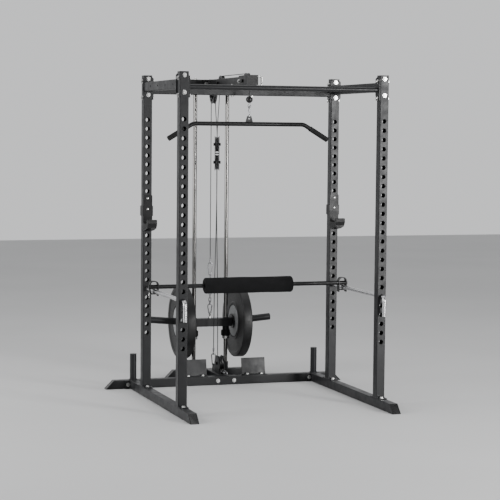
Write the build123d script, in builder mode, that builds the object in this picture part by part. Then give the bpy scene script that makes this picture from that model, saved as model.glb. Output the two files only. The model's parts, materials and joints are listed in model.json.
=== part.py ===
from build123d import *
import os
from math import asin, cos, radians, sin, tan

# Power cage with a plate loaded lat tower.  Millimetres, +Z up.
# Origin: on the floor, midway between the four uprights.  The user faces -Y, the tower is at +Y.

os.makedirs("parts", exist_ok=True)

# ---- driving dimensions ----------------------------------------------------------------
# Square tube of the frame
TUBE = 50.8
HALF = TUBE / 2
WALL = 2.6
CORNER = 4.0
# Uprights and their row of holes
UPRIGHT_X = 571.5
UPRIGHT_Y = 368.3
UPRIGHT_TOP = 1834.5
HOLE_R = 12.7
HOLE_PITCH = 50.8
HOLE_COUNT = 25
TOP_HOLE_Z = 1585.6
FOOT_T = 5.0
FOOT_LENGTH = 126.0
FOOT_BOLT_Y = 44.0
# Floor frame
BASE_FRONT_Y = -622.0
CROSS_Y = 655.4
CROSS_HALF = 740.0
BASE_FLANGE_T = 6.0
BASE_FLANGE_HALF = 56.0
BASE_FLANGE_BOLT = 38.0
CENTRE_BOLT_X = 51.0
FOOT_PLATE_X = 186.0
FOOT_PLATE_HALF = 75.0
FOOT_PLATE_T = 5.0
FOOT_PLATE_BOLT = 45.0
STORAGE_PEG_R = 19.5
STORAGE_PEG_TOP = 205.0
# Beams at the top
SIDE_BEAM_Z = 1772.0
SIDE_BOLT = 45.0
CROSS_BEAM_Z = 1757.2
CROSS_BOLT = 46.0
FLANGE_T = 6.0
PULL_UP_R = 14.0
# Bolts
BOLT_R = 4.75
BOLT_HOLE_R = 5.1
HEAD_R = 8.4
HEAD_H = 6.4
WASHER_R = 12.0
WASHER_T = 2.0
# Cable and pulleys
CABLE_R = 2.5
PITCH_R = 42.0
PULLEY_R = 46.0
PULLEY_HALF = 10.0
AXLE_R = 6.0
AXLE_BORE_R = 6.06
AXLE_HEAD_R = 10.0
AXLE_HEAD_H = 8.0
FRONT_PULLEY_Y = 277.0
# Tower
ROD_Y = 972.0
ROD_X = 103.0
ROD_R = 12.5
ROD_BOLT_DEPTH = 28.0
TOWER_FOOT_HALF = 282.0
TOWER_TOP_HALF = 165.0
SADDLE_T = 6.4
HOUSING_FRONT_Y = 165.0
HOUSING_REAR_Y = 345.0
HOUSING_T = 4.0
BOOM_FRONT_Y = 328.0
HANGING_Z = 1739.0
BLOCK_TOP_Z = 1445.0
BLOCK_LOW_Z = 1336.0
BLOCK_TWIST = 18.6
LOW_PULLEY_Z = 112.0
# Weight carriage, as it stands on its rubber stops
CARRIAGE_Z = 341.0
CARRIAGE_HALF = 138.0
CARRIAGE_SECTION = 50.0
SLEEVE_R = 20.0
BUSH_R = 17.0
SLEEVE_LOW = 292.0
SLEEVE_HIGH = 366.5
PEG_R = 21.0
PEG_END_X = 392.0
PEG_ANGLE = 5.0
PEG_ROOT_X = 95.0
STOP_X = 141.0
PLATE_X = 180.0
PLATE_HALF_T = 28.0
PLATE_R = 225.0
PLATE_BORE_R = 25.4
# Lat bar
LAT_Y = FRONT_PULLEY_Y - PITCH_R
LAT_BAR_Z = 1567.0
LAT_BAR_R = 12.5
LAT_BEND_X = 334.0
LAT_END_X = 480.0
LAT_END_DROP = 87.0
BALL_R = 20.0
STUD_R = 4.0
EYE_R = 8.0
BALL_Z = 1707.0
# J-hooks
HOOK_ROW = 10
HOOK_TOP = 1158.0
HOOK_BOTTOM = 952.0
HOOK_T = 6.0
# Safety rods and leg roller
SAFETY_ROW = 19
SAFETY_R = 11.0
SAFETY_REAR_Y = 424.0
SAFETY_FRONT_Y = -430.0
SAFETY_END_Z = 513.0
ROLLER_Y = 200.0
ROLLER_BAR_R = 12.0
FORK_HALF = 23.0
FOAM_R = 46.5
FOAM_HALF = 264.0
FOAM_X = -8.0

# ---- values worked out from them --------------------------------------------------------
BEAM_TOP_Z = CROSS_BEAM_Z + HALF
BOOM_Z = BEAM_TOP_Z + SADDLE_T + HALF
HANGING_Y = ROD_Y - PITCH_R
BLOCK_Y = HANGING_Y - 2 * PITCH_R
REAR_PULLEY_Y = BLOCK_Y - 2 * PITCH_R
LOW_PULLEY_Y = REAR_PULLEY_Y
CABLE_TOP_Z = BOOM_Z + PITCH_R
INNER = TUBE - 2 * WALL
PLUG = INNER - 1.0
SAFETY_Z = TOP_HOLE_Z - SAFETY_ROW * HOLE_PITCH
HOOK_PIN_Z = TOP_HOLE_Z - HOOK_ROW * HOLE_PITCH
ROLLER_Z = SAFETY_Z + SAFETY_R + ROLLER_BAR_R + 0.3
CARRIAGE_TOP = CARRIAGE_Z + CARRIAGE_SECTION / 2
TWIST = Vector(sin(radians(BLOCK_TWIST)), cos(radians(BLOCK_TWIST)), 0)
BLOCK_AXLE = Vector(TWIST.Y, -TWIST.X, 0)
LEFT_RIGHT = (("left", -1), ("right", 1))


# ---- shared shapes ----------------------------------------------------------------------
def save(part, name):
    part.label = name
    export_step(part, f"parts/{name}.step")


def block(xs, ys, zs, mode=Mode.ADD):
    """A box between two limits on each axis."""
    with Locations((sum(xs) / 2, sum(ys) / 2, sum(zs) / 2)):
        Box(abs(xs[1] - xs[0]), abs(ys[1] - ys[0]), abs(zs[1] - zs[0]), mode=mode)


def bar(start, direction, radius, length, mode=Mode.ADD):
    """A round bar or hole that starts at a point and runs along a direction."""
    with Locations(Plane(origin=start, z_dir=direction)):
        Cylinder(radius, length, align=(Align.CENTER, Align.CENTER, Align.MIN), mode=mode)


def hexagon(origin, direction, height, radius=HEAD_R):
    """A bolt head or a nut: origin is the middle of its lower face."""
    with BuildSketch(Plane(origin=origin, z_dir=direction)) as outline:
        RegularPolygon(radius, 6)
    extrude(outline.sketch, amount=height)


def bolt(start, direction, grip, nut=True):
    """A hex bolt with its washers: start is on the face under the head's washer."""
    start, direction = Vector(*start), Vector(*direction)
    bar(start - direction * WASHER_T, direction, WASHER_R, WASHER_T)
    hexagon(start - direction * WASHER_T, -direction, HEAD_H)
    if nut:
        bar(start - direction, direction, BOLT_R, grip + WASHER_T + HEAD_H + 4)
        bar(start + direction * grip, direction, WASHER_R, WASHER_T)
        hexagon(start + direction * (grip + WASHER_T), direction, HEAD_H)
    else:
        bar(start - direction, direction, BOLT_R, grip + 1)


def tube_section(width=TUBE, height=TUBE):
    """The hollow section of the frame tube, inside a sketch."""
    RectangleRounded(width, height, CORNER)
    RectangleRounded(width - 2 * WALL, height - 2 * WALL, CORNER - WALL, mode=Mode.SUBTRACT)


def pear_path(plane, top, bottom, top_radius, bottom_radius):
    """The closed centre line of a carabiner: top and bottom are its ends on the plane's y axis."""
    high, low = top - top_radius, bottom + bottom_radius
    lean = asin((top_radius - bottom_radius) / (high - low))
    side, rise = cos(lean), -sin(lean)
    with BuildLine(plane) as path:
        high_right = (top_radius * side, high + top_radius * rise)
        high_left = (-high_right[0], high_right[1])
        low_right = (bottom_radius * side, low + bottom_radius * rise)
        low_left = (-low_right[0], low_right[1])
        ThreePointArc(high_right, (0, top), high_left)
        Line(high_left, low_left)
        ThreePointArc(low_left, (0, bottom), low_right)
        Line(low_right, high_right)
    return path.wire()


def wire_loop(path, radius):
    """Round wire bent along a path."""
    start = Plane(origin=path @ 0, z_dir=path % 0)
    with BuildSketch(start) as section:
        Circle(radius)
    sweep(section.sketch, path=path)


def ring(centre, normal, radius, wire_radius):
    """A closed round ring of wire."""
    with Locations(Plane(origin=centre, z_dir=normal)):
        Torus(radius, wire_radius)


# ---- frame: uprights --------------------------------------------------------------------
for depth_name, depth in (("front", -1), ("rear", 1)):
    for side_name, side in LEFT_RIGHT:
        x, y = side * UPRIGHT_X, depth * UPRIGHT_Y
        with BuildPart() as upright:
            with BuildSketch(Plane((x, y, TUBE + FOOT_T))):
                tube_section()
            extrude(amount=UPRIGHT_TOP - TUBE - FOOT_T)
            for row in range(HOLE_COUNT):
                bar((x, y - TUBE, TOP_HOLE_Z - row * HOLE_PITCH), (0, 1, 0), HOLE_R, 2 * TUBE,
                    Mode.SUBTRACT)
            for rise in (-1, 1):
                bar((x, y - TUBE, SIDE_BEAM_Z + rise * SIDE_BOLT), (0, 1, 0), BOLT_HOLE_R, 2 * TUBE,
                    Mode.SUBTRACT)
                bar((x - TUBE, y, CROSS_BEAM_Z + rise * CROSS_BOLT), (1, 0, 0), BOLT_HOLE_R, 2 * TUBE,
                    Mode.SUBTRACT)
        save(upright.part, f"{depth_name}_upright_{side_name}")

# The plates welded under the uprights, bolted down on the base tubes
with BuildPart() as upright_feet:
    for x in (-UPRIGHT_X, UPRIGHT_X):
        for y in (-UPRIGHT_Y, UPRIGHT_Y):
            block((x - HALF, x + HALF), (y - FOOT_LENGTH / 2, y + FOOT_LENGTH / 2), (TUBE, TUBE + FOOT_T))
            for offset_y in (-FOOT_BOLT_Y, FOOT_BOLT_Y):
                bar((x, y + offset_y, TUBE - 1), (0, 0, 1), BOLT_HOLE_R, FOOT_T + 2, Mode.SUBTRACT)
    fillet(upright_feet.edges().filter_by(Axis.Z).filter_by(GeomType.LINE), CORNER)
save(upright_feet.part, "upright_feet")

with BuildPart() as upright_caps:
    for x in (-UPRIGHT_X, UPRIGHT_X):
        for y in (-UPRIGHT_Y, UPRIGHT_Y):
            with BuildSketch(Plane((x, y, UPRIGHT_TOP))):
                RectangleRounded(TUBE, TUBE, CORNER)
            extrude(amount=3)
            block((x - 19, x + 19), (y - 19, y + 19), (UPRIGHT_TOP - 12, UPRIGHT_TOP))
save(upright_caps.part, "upright_caps")

# ---- frame: floor ------------------------------------------------------------------------
for side_name, side in LEFT_RIGHT:
    x = side * UPRIGHT_X
    rear_y = CROSS_Y - HALF
    with BuildPart() as base_tube:
        with BuildSketch(Plane((x, rear_y - BASE_FLANGE_T, HALF), x_dir=(1, 0, 0), z_dir=(0, -1, 0))):
            tube_section()
        extrude(amount=rear_y - BASE_FLANGE_T - BASE_FRONT_Y)
        with BuildSketch(Plane.YZ.offset(x - TUBE)):
            with BuildLine():
                Polyline((BASE_FRONT_Y, 0), (BASE_FRONT_Y + TUBE, TUBE), (BASE_FRONT_Y - 5, TUBE + 5),
                         (BASE_FRONT_Y - 5, 0), close=True)
            make_face()
        extrude(amount=2 * TUBE, mode=Mode.SUBTRACT)
        block((x - BASE_FLANGE_HALF, x + BASE_FLANGE_HALF), (rear_y - BASE_FLANGE_T, rear_y), (0, TUBE))
        for offset_x in (-BASE_FLANGE_BOLT, BASE_FLANGE_BOLT):
            bar((x + offset_x, rear_y - 2 * BASE_FLANGE_T, HALF), (0, 1, 0), BOLT_HOLE_R,
                3 * BASE_FLANGE_T, Mode.SUBTRACT)
        for y in (-UPRIGHT_Y, UPRIGHT_Y):
            for offset_y in (-FOOT_BOLT_Y, FOOT_BOLT_Y):
                bar((x, y + offset_y, TUBE - 2 * WALL), (0, 0, 1), BOLT_HOLE_R, 3 * WALL, Mode.SUBTRACT)
    save(base_tube.part, f"base_tube_{side_name}")

with BuildPart() as rear_crossmember:
    with BuildSketch(Plane((-CROSS_HALF, CROSS_Y, HALF), x_dir=(0, 1, 0), z_dir=(1, 0, 0))):
        tube_section()
    extrude(amount=2 * CROSS_HALF)
    for side in (-1, 1):
        with BuildSketch(Plane.XZ.offset(-CROSS_Y - TUBE)):
            with BuildLine():
                Polyline((side * CROSS_HALF, 0), (side * (CROSS_HALF - TUBE), TUBE),
                         (side * (CROSS_HALF + 5), TUBE + 5), (side * (CROSS_HALF + 5), 0), close=True)
            make_face()
        extrude(amount=2 * TUBE, mode=Mode.SUBTRACT)
        for bolt_x in (UPRIGHT_X - BASE_FLANGE_BOLT, UPRIGHT_X + BASE_FLANGE_BOLT, CENTRE_BOLT_X):
            bar((side * bolt_x, CROSS_Y - TUBE, HALF), (0, 1, 0), BOLT_HOLE_R, 2 * TUBE, Mode.SUBTRACT)
        for offset_x in (-FOOT_PLATE_BOLT, FOOT_PLATE_BOLT):
            bar((side * FOOT_PLATE_X + offset_x, CROSS_Y - 8, TUBE - 2 * WALL), (0, 0, 1), BOLT_HOLE_R,
                3 * WALL, Mode.SUBTRACT)
save(rear_crossmember.part, "rear_crossmember")

# Slanted plastic plugs in the open tube ends: front feet, outriggers and the tower's foot
with BuildPart() as base_end_caps:
    for x in (-UPRIGHT_X, UPRIGHT_X):
        with BuildSketch(Plane.YZ.offset(x - HALF)):
            with BuildLine():
                Polyline((BASE_FRONT_Y, 0), (BASE_FRONT_Y + TUBE, TUBE), (BASE_FRONT_Y + TUBE - 4, TUBE),
                         (BASE_FRONT_Y - 4, 0), close=True)
            make_face()
        extrude(amount=TUBE)
        with BuildSketch(Plane.YZ.offset(x - PLUG / 2)):
            with BuildLine():
                Polyline((BASE_FRONT_Y + 3.5, 3.5), (BASE_FRONT_Y + 47, 47), (BASE_FRONT_Y + 62, 47),
                         (BASE_FRONT_Y + 62, 3.5), close=True)
            make_face()
        extrude(amount=PLUG)
    for side in (-1, 1):
        for beam_y, beam_half in ((CROSS_Y, CROSS_HALF), (ROD_Y, TOWER_FOOT_HALF)):
            with BuildSketch(Plane.XZ.offset(-beam_y - HALF)):
                with BuildLine():
                    Polyline((side * beam_half, 0), (side * (beam_half - TUBE), TUBE),
                             (side * (beam_half - TUBE + 4), TUBE), (side * (beam_half + 4), 0), close=True)
                make_face()
            extrude(amount=TUBE)
            with BuildSketch(Plane.XZ.offset(-beam_y - PLUG / 2)):
                with BuildLine():
                    Polyline((side * (beam_half - 3.5), 3.5), (side * (beam_half - 47), 47),
                             (side * (beam_half - 62), 47), (side * (beam_half - 62), 3.5), close=True)
                make_face()
            extrude(amount=PLUG)
save(base_end_caps.part, "base_end_caps")

with BuildPart() as storage_pegs:
    for side in (-1, 1):
        bar((side * UPRIGHT_X, CROSS_Y, TUBE), (0, 0, 1), STORAGE_PEG_R, STORAGE_PEG_TOP - TUBE)
        bar((side * UPRIGHT_X, CROSS_Y, TUBE), (0, 0, 1), HALF - 1, 4)
save(storage_pegs.part, "storage_pegs")

# ---- frame: top beams --------------------------------------------------------------------
BEAM_HOLE_R = 5.5
BEAM_HOLE_FIRST_Y = 198.0
BEAM_HOLE_PITCH = 152.4
BEAM_HOLES_Y = [BEAM_HOLE_FIRST_Y - BEAM_HOLE_PITCH * step for step in range(4)]
FLANGE_WIDTH = 63.0
FLANGE_HEIGHT = 122.0
FLANGE_CUT = 14.0
CROSS_FLANGE_HEIGHT = 116.0
for side_name, side in LEFT_RIGHT:
    x = side * UPRIGHT_X
    flange_y = UPRIGHT_Y - HALF
    with BuildPart() as side_beam:
        with BuildSketch(Plane((x, -flange_y, SIDE_BEAM_Z), x_dir=(-1, 0, 0), z_dir=(0, 1, 0))):
            tube_section()
        extrude(amount=2 * flange_y)
        for end in (-1, 1):
            with BuildSketch(Plane((x, end * flange_y, SIDE_BEAM_Z), x_dir=(1, 0, 0), z_dir=(0, -end, 0))):
                outline = Rectangle(FLANGE_WIDTH, FLANGE_HEIGHT)
                chamfer(outline.vertices(), FLANGE_CUT)
            extrude(amount=FLANGE_T)
            for rise in (-1, 1):
                bar((x, end * flange_y - TUBE, SIDE_BEAM_Z + rise * SIDE_BOLT), (0, 1, 0), BOLT_HOLE_R,
                    2 * TUBE, Mode.SUBTRACT)
        for y in BEAM_HOLES_Y:
            bar((x - TUBE, y, SIDE_BEAM_Z), (1, 0, 0), BEAM_HOLE_R, 2 * TUBE, Mode.SUBTRACT)
    save(side_beam.part, f"side_beam_{side_name}")


def cross_beam_flanges(y):
    """The end plates of a beam that runs between two uprights, with their bolt holes."""
    inner_x = UPRIGHT_X - HALF
    for end in (-1, 1):
        with Locations((end * (inner_x - FLANGE_T / 2), y, CROSS_BEAM_Z)):
            Box(FLANGE_T, TUBE - 1, CROSS_FLANGE_HEIGHT)
        for rise in (-1, 1):
            bar((end * inner_x - TUBE, y, CROSS_BEAM_Z + rise * CROSS_BOLT), (1, 0, 0), BOLT_HOLE_R,
                2 * TUBE, Mode.SUBTRACT)


FLANGE_X = UPRIGHT_X - HALF - FLANGE_T
with BuildPart() as pull_up_bar:
    bar((-FLANGE_X, -UPRIGHT_Y, CROSS_BEAM_Z), (1, 0, 0), PULL_UP_R, 2 * FLANGE_X)
    cross_beam_flanges(-UPRIGHT_Y)
save(pull_up_bar.part, "pull_up_bar")

SADDLE_BOLT_X = 59.0
with BuildPart() as rear_top_beam:
    with BuildSketch(Plane((-FLANGE_X, UPRIGHT_Y, CROSS_BEAM_Z), x_dir=(0, 1, 0), z_dir=(1, 0, 0))):
        tube_section()
    extrude(amount=2 * FLANGE_X)
    cross_beam_flanges(UPRIGHT_Y)
    for x in (-SADDLE_BOLT_X, SADDLE_BOLT_X):
        bar((x, UPRIGHT_Y, CROSS_BEAM_Z - TUBE), (0, 0, 1), BOLT_HOLE_R, 2 * TUBE, Mode.SUBTRACT)
save(rear_top_beam.part, "rear_top_beam")

# ---- lat tower ---------------------------------------------------------------------------
TOWER_JOIN_Y = ROD_Y - HALF
SLOT_HALF = 12.5
BOOM_LOW, BOOM_HIGH = BOOM_Z - HALF, BOOM_Z + HALF
HOUSING_BOLT_Y = 334.0
JOIN_BOLT_X = 42.0
with BuildPart() as boom:
    with BuildSketch(Plane((0, BOOM_FRONT_Y, BOOM_Z), x_dir=(-1, 0, 0), z_dir=(0, 1, 0))):
        tube_section()
    extrude(amount=TOWER_JOIN_Y - BOOM_FRONT_Y)
    block((-58, 58), (TOWER_JOIN_Y - FLANGE_T, TOWER_JOIN_Y), (BOOM_LOW, BOOM_HIGH))
    block((-76, 76), (UPRIGHT_Y - HALF, UPRIGHT_Y + HALF), (BEAM_TOP_Z, BOOM_LOW))
    block((-SLOT_HALF, SLOT_HALF), (REAR_PULLEY_Y - 54, REAR_PULLEY_Y + 54), (BOOM_LOW - 1, BOOM_HIGH + 1),
          Mode.SUBTRACT)
    bar((-TUBE, REAR_PULLEY_Y, BOOM_Z), (1, 0, 0), AXLE_BORE_R, 2 * TUBE, Mode.SUBTRACT)
    bar((-TUBE, HOUSING_BOLT_Y, BOOM_Z), (1, 0, 0), BOLT_HOLE_R, 2 * TUBE, Mode.SUBTRACT)
    for side in (-1, 1):
        bar((side * SADDLE_BOLT_X, UPRIGHT_Y, BEAM_TOP_Z - 1), (0, 0, 1), BOLT_HOLE_R, TUBE, Mode.SUBTRACT)
        bar((side * JOIN_BOLT_X, TOWER_JOIN_Y - TUBE, BOOM_Z), (0, 1, 0), BOLT_HOLE_R, 2 * TUBE,
            Mode.SUBTRACT)
save(boom.part, "boom")

with BuildPart() as tower_top_beam:
    with BuildSketch(Plane((-TOWER_TOP_HALF, ROD_Y, BOOM_Z), x_dir=(0, 1, 0), z_dir=(1, 0, 0))):
        tube_section()
    extrude(amount=2 * TOWER_TOP_HALF)
    for side in (-1, 1):
        bar((side * JOIN_BOLT_X, ROD_Y - TUBE, BOOM_Z), (0, 1, 0), BOLT_HOLE_R, 2 * TUBE, Mode.SUBTRACT)
        bar((side * ROD_X, ROD_Y, BOOM_LOW - 1), (0, 0, 1), BOLT_HOLE_R, TUBE + 2, Mode.SUBTRACT)
        block((side * TOWER_TOP_HALF, side * (TOWER_TOP_HALF + 3)), (ROD_Y - HALF, ROD_Y + HALF),
              (BOOM_LOW, BOOM_HIGH))
save(tower_top_beam.part, "tower_top_beam")

SOCKET_R = 18.0
SOCKET_TOP = TUBE + 42
LOW_CHEEK_X = 14.0
LOW_CHEEK_T = 4.0
ANCHOR_Y = HANGING_Y - PITCH_R
ANCHOR_HOLE_Z = 82.0
with BuildPart() as tower_base:
    with BuildSketch(Plane((-TOWER_FOOT_HALF, ROD_Y, HALF), x_dir=(0, 1, 0), z_dir=(1, 0, 0))):
        tube_section()
    extrude(amount=2 * TOWER_FOOT_HALF)
    for side in (-1, 1):
        with BuildSketch(Plane.XZ.offset(-ROD_Y - TUBE)):
            with BuildLine():
                Polyline((side * TOWER_FOOT_HALF, 0), (side * (TOWER_FOOT_HALF - TUBE), TUBE),
                         (side * (TOWER_FOOT_HALF + 5), TUBE + 5), (side * (TOWER_FOOT_HALF + 5), 0),
                         close=True)
            make_face()
        extrude(amount=2 * TUBE, mode=Mode.SUBTRACT)
    with BuildSketch(Plane((0, CROSS_Y + HALF, HALF), x_dir=(-1, 0, 0), z_dir=(0, 1, 0))):
        tube_section()
    extrude(amount=TOWER_JOIN_Y - CROSS_Y - HALF)
    block((-76, 76), (CROSS_Y + HALF, CROSS_Y + HALF + FLANGE_T), (0, TUBE))
    for side in (-1, 1):
        bar((side * CENTRE_BOLT_X, CROSS_Y, HALF), (0, 1, 0), BOLT_HOLE_R, 2 * TUBE, Mode.SUBTRACT)
        bar((side * ROD_X, ROD_Y, TUBE - 1), (0, 0, 1), SOCKET_R, SOCKET_TOP - TUBE + 1)
        bar((side * ROD_X, ROD_Y, TUBE), (0, 0, 1), ROD_R + 0.05, SOCKET_TOP, Mode.SUBTRACT)
    with BuildSketch(Plane.YZ.offset(-3)):
        with BuildLine():
            Polyline((ANCHOR_Y - 22, TUBE - 1), (ANCHOR_Y - 12, ANCHOR_HOLE_Z + 12),
                     (ANCHOR_Y + 12, ANCHOR_HOLE_Z + 12), (ANCHOR_Y + 22, TUBE - 1), close=True)
        make_face()
        with Locations((ANCHOR_Y, ANCHOR_HOLE_Z)):
            Circle(6.5, mode=Mode.SUBTRACT)
    extrude(amount=6)
save(tower_base.part, "tower_base")

with BuildPart() as guide_rods:
    for x in (-ROD_X, ROD_X):
        bar((x, ROD_Y, TUBE), (0, 0, 1), ROD_R, BOOM_LOW - TUBE)
        bar((x, ROD_Y, BOOM_LOW - ROD_BOLT_DEPTH - 2), (0, 0, 1), BOLT_R + 0.01, ROD_BOLT_DEPTH + 2,
            Mode.SUBTRACT)
save(guide_rods.part, "guide_rods")

COLLAR_T = 16.0
BUMPER_T = 37.0
BUMPER_LOW = SLEEVE_LOW - 0.3 - BUMPER_T
with BuildPart() as stop_collars:
    for x in (-ROD_X, ROD_X):
        bar((x, ROD_Y, BUMPER_LOW - COLLAR_T), (0, 0, 1), 23, COLLAR_T)
        bar((x, ROD_Y, BUMPER_LOW - COLLAR_T - 1), (0, 0, 1), ROD_R + 0.05, COLLAR_T + 2, Mode.SUBTRACT)
        bar((x, ROD_Y - ROD_R - 1, BUMPER_LOW - COLLAR_T / 2), (0, -1, 0), 3.2, 13)
save(stop_collars.part, "stop_collars")

with BuildPart() as rubber_stops:
    for x in (-ROD_X, ROD_X):
        bar((x, ROD_Y, BUMPER_LOW), (0, 0, 1), 28, BUMPER_T)
    fillet(rubber_stops.edges().filter_by(GeomType.CIRCLE), 6)
    for x in (-ROD_X, ROD_X):
        bar((x, ROD_Y, BUMPER_LOW - 1), (0, 0, 1), ROD_R + 0.05, BUMPER_T + 2, Mode.SUBTRACT)
save(rubber_stops.part, "rubber_stops")

HOUSING_LOW, HOUSING_HIGH = BOOM_LOW, BOOM_HIGH + 6
with BuildPart() as pulley_housing:
    for side in (-1, 1):
        inner = side * HALF
        block((inner, inner + side * HOUSING_T), (HOUSING_FRONT_Y, HOUSING_REAR_Y), (HOUSING_LOW, HOUSING_HIGH))
    block((-HALF - HOUSING_T, HALF + HOUSING_T), (HOUSING_FRONT_Y, HOUSING_FRONT_Y + HOUSING_T),
          (HOUSING_LOW, HOUSING_HIGH))
    block((-HALF - HOUSING_T, HALF + HOUSING_T), (HOUSING_FRONT_Y, HOUSING_FRONT_Y + 52),
          (HOUSING_HIGH - HOUSING_T, HOUSING_HIGH))
    bar((-TUBE, FRONT_PULLEY_Y, BOOM_Z), (1, 0, 0), AXLE_BORE_R, 2 * TUBE, Mode.SUBTRACT)
    bar((-TUBE, HOUSING_BOLT_Y, BOOM_Z), (1, 0, 0), BOLT_HOLE_R, 2 * TUBE, Mode.SUBTRACT)
save(pulley_housing.part, "pulley_housing")

# Bent rod on the housing's right side, where the lat bar is hung up
REST_ROD_R = 6.0
with BuildPart() as bar_rest:
    rest_y = HOUSING_FRONT_Y + 22
    start_x = HALF + HOUSING_T
    rest_z = HOUSING_HIGH - REST_ROD_R - 1
    with BuildLine() as rest_path:
        FilletPolyline((start_x, rest_y, rest_z), (start_x + 28, rest_y, rest_z),
                       (start_x + 28, rest_y, rest_z - 66), (start_x + 28, rest_y - 44, rest_z - 66), radius=12)
    wire_loop(rest_path.wire(), REST_ROD_R)
save(bar_rest.part, "bar_rest")

CHEEK_X = PULLEY_HALF + 2.0
CHEEK_T = 4.0
with BuildPart() as hanging_bracket:
    block((-38, 38), (HANGING_Y - 56, HANGING_Y + 62), (BOOM_LOW - 5, BOOM_LOW))
    block((-CHEEK_X, CHEEK_X), (HANGING_Y - 50, HANGING_Y + 54), (BOOM_LOW - 6, BOOM_LOW + 1), Mode.SUBTRACT)
    for side in (-1, 1):
        with BuildSketch(Plane.YZ.offset(side * CHEEK_X)):
            with BuildLine():
                Polyline((HANGING_Y - 44, BOOM_LOW - 2), (HANGING_Y - 15, HANGING_Z - 18),
                         (HANGING_Y + 15, HANGING_Z - 18), (HANGING_Y + 44, BOOM_LOW - 2), close=True)
            make_face()
        extrude(amount=side * CHEEK_T)
    bar((-TUBE, HANGING_Y, HANGING_Z), (1, 0, 0), AXLE_BORE_R, 2 * TUBE, Mode.SUBTRACT)
save(hanging_bracket.part, "hanging_bracket")

with BuildPart() as low_pulley_bracket:
    for side in (-1, 1):
        with BuildSketch(Plane.YZ.offset(side * LOW_CHEEK_X)):
            with BuildLine():
                Polyline((LOW_PULLEY_Y - 46, TUBE), (LOW_PULLEY_Y - 46, LOW_PULLEY_Z + 6),
                         (LOW_PULLEY_Y - 22, LOW_PULLEY_Z + 48), (LOW_PULLEY_Y + 22, LOW_PULLEY_Z + 48),
                         (LOW_PULLEY_Y + 46, LOW_PULLEY_Z + 6), (LOW_PULLEY_Y + 46, TUBE), close=True)
            make_face()
        extrude(amount=side * LOW_CHEEK_T)
    bar((-TUBE, LOW_PULLEY_Y, LOW_PULLEY_Z), (1, 0, 0), AXLE_BORE_R, 2 * TUBE, Mode.SUBTRACT)
save(low_pulley_bracket.part, "low_pulley_bracket")

# Foot plates for rowing, one each side of the low pulley
TREAD_T = 5.0
TREAD_TOP = TUBE + 101.0
TREAD_LEAN = 18.0
TREAD_FOOT_Y = CROSS_Y - HALF + 2
TREAD_BEND_Y = CROSS_Y + 12
with BuildPart() as foot_plates:
    for side in (-1, 1):
        plate_x = side * FOOT_PLATE_X
        with BuildSketch(Plane.YZ.offset(plate_x - FOOT_PLATE_HALF)):
            with BuildLine():
                Polyline((TREAD_FOOT_Y, TUBE), (TREAD_BEND_Y, TUBE), (TREAD_BEND_Y + TREAD_LEAN, TREAD_TOP),
                         (TREAD_BEND_Y + TREAD_LEAN - TREAD_T, TREAD_TOP), (TREAD_BEND_Y - 4, TUBE + TREAD_T),
                         (TREAD_FOOT_Y, TUBE + TREAD_T), close=True)
            make_face()
        extrude(amount=2 * FOOT_PLATE_HALF)
        for offset_x in (-FOOT_PLATE_BOLT, FOOT_PLATE_BOLT):
            bar((plate_x + offset_x, CROSS_Y - 8, TUBE - 1), (0, 0, 1), BOLT_HOLE_R, 7, Mode.SUBTRACT)
save(foot_plates.part, "foot_plates")

# ---- pulleys -----------------------------------------------------------------------------
def make_pulley(name, centre, axle):
    """A grooved wheel on the given axle direction, with a running bore."""
    axle = Vector(*axle)
    with BuildPart() as pulley:
        section_plane = Plane(origin=centre, x_dir=(0, 0, 1), z_dir=Vector(-axle.Y, axle.X, 0))
        with BuildSketch(section_plane):
            with BuildLine():
                Polyline((AXLE_BORE_R, -PULLEY_HALF), (15, -PULLEY_HALF), (17, -5), (31, -5),
                         (33, -PULLEY_HALF), (PULLEY_R, -PULLEY_HALF), (PULLEY_R, PULLEY_HALF),
                         (33, PULLEY_HALF), (31, 5), (17, 5), (15, PULLEY_HALF),
                         (AXLE_BORE_R, PULLEY_HALF), close=True)
            make_face()
            with Locations((PITCH_R, 0)):
                Circle(CABLE_R + 0.3, mode=Mode.SUBTRACT)
            with BuildLine():
                Polyline((PITCH_R, -CABLE_R - 0.3), (PULLEY_R + 1, -8), (PULLEY_R + 1, 8),
                         (PITCH_R, CABLE_R + 0.3), close=True)
            make_face(mode=Mode.SUBTRACT)
        revolve(axis=Axis(centre, axle))
    save(pulley.part, name)


ACROSS = (1, 0, 0)
make_pulley("boom_front_pulley", (0, FRONT_PULLEY_Y, BOOM_Z), ACROSS)
make_pulley("boom_rear_pulley", (0, REAR_PULLEY_Y, BOOM_Z), ACROSS)
make_pulley("hanging_pulley", (0, HANGING_Y, HANGING_Z), ACROSS)
make_pulley("low_pulley", (0, LOW_PULLEY_Y, LOW_PULLEY_Z), ACROSS)
make_pulley("block_upper_pulley", (0, BLOCK_Y, BLOCK_TOP_Z), (BLOCK_AXLE.X, BLOCK_AXLE.Y, 0))
make_pulley("block_lower_pulley", (0, BLOCK_Y, BLOCK_LOW_Z), (BLOCK_AXLE.X, BLOCK_AXLE.Y, 0))

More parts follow.
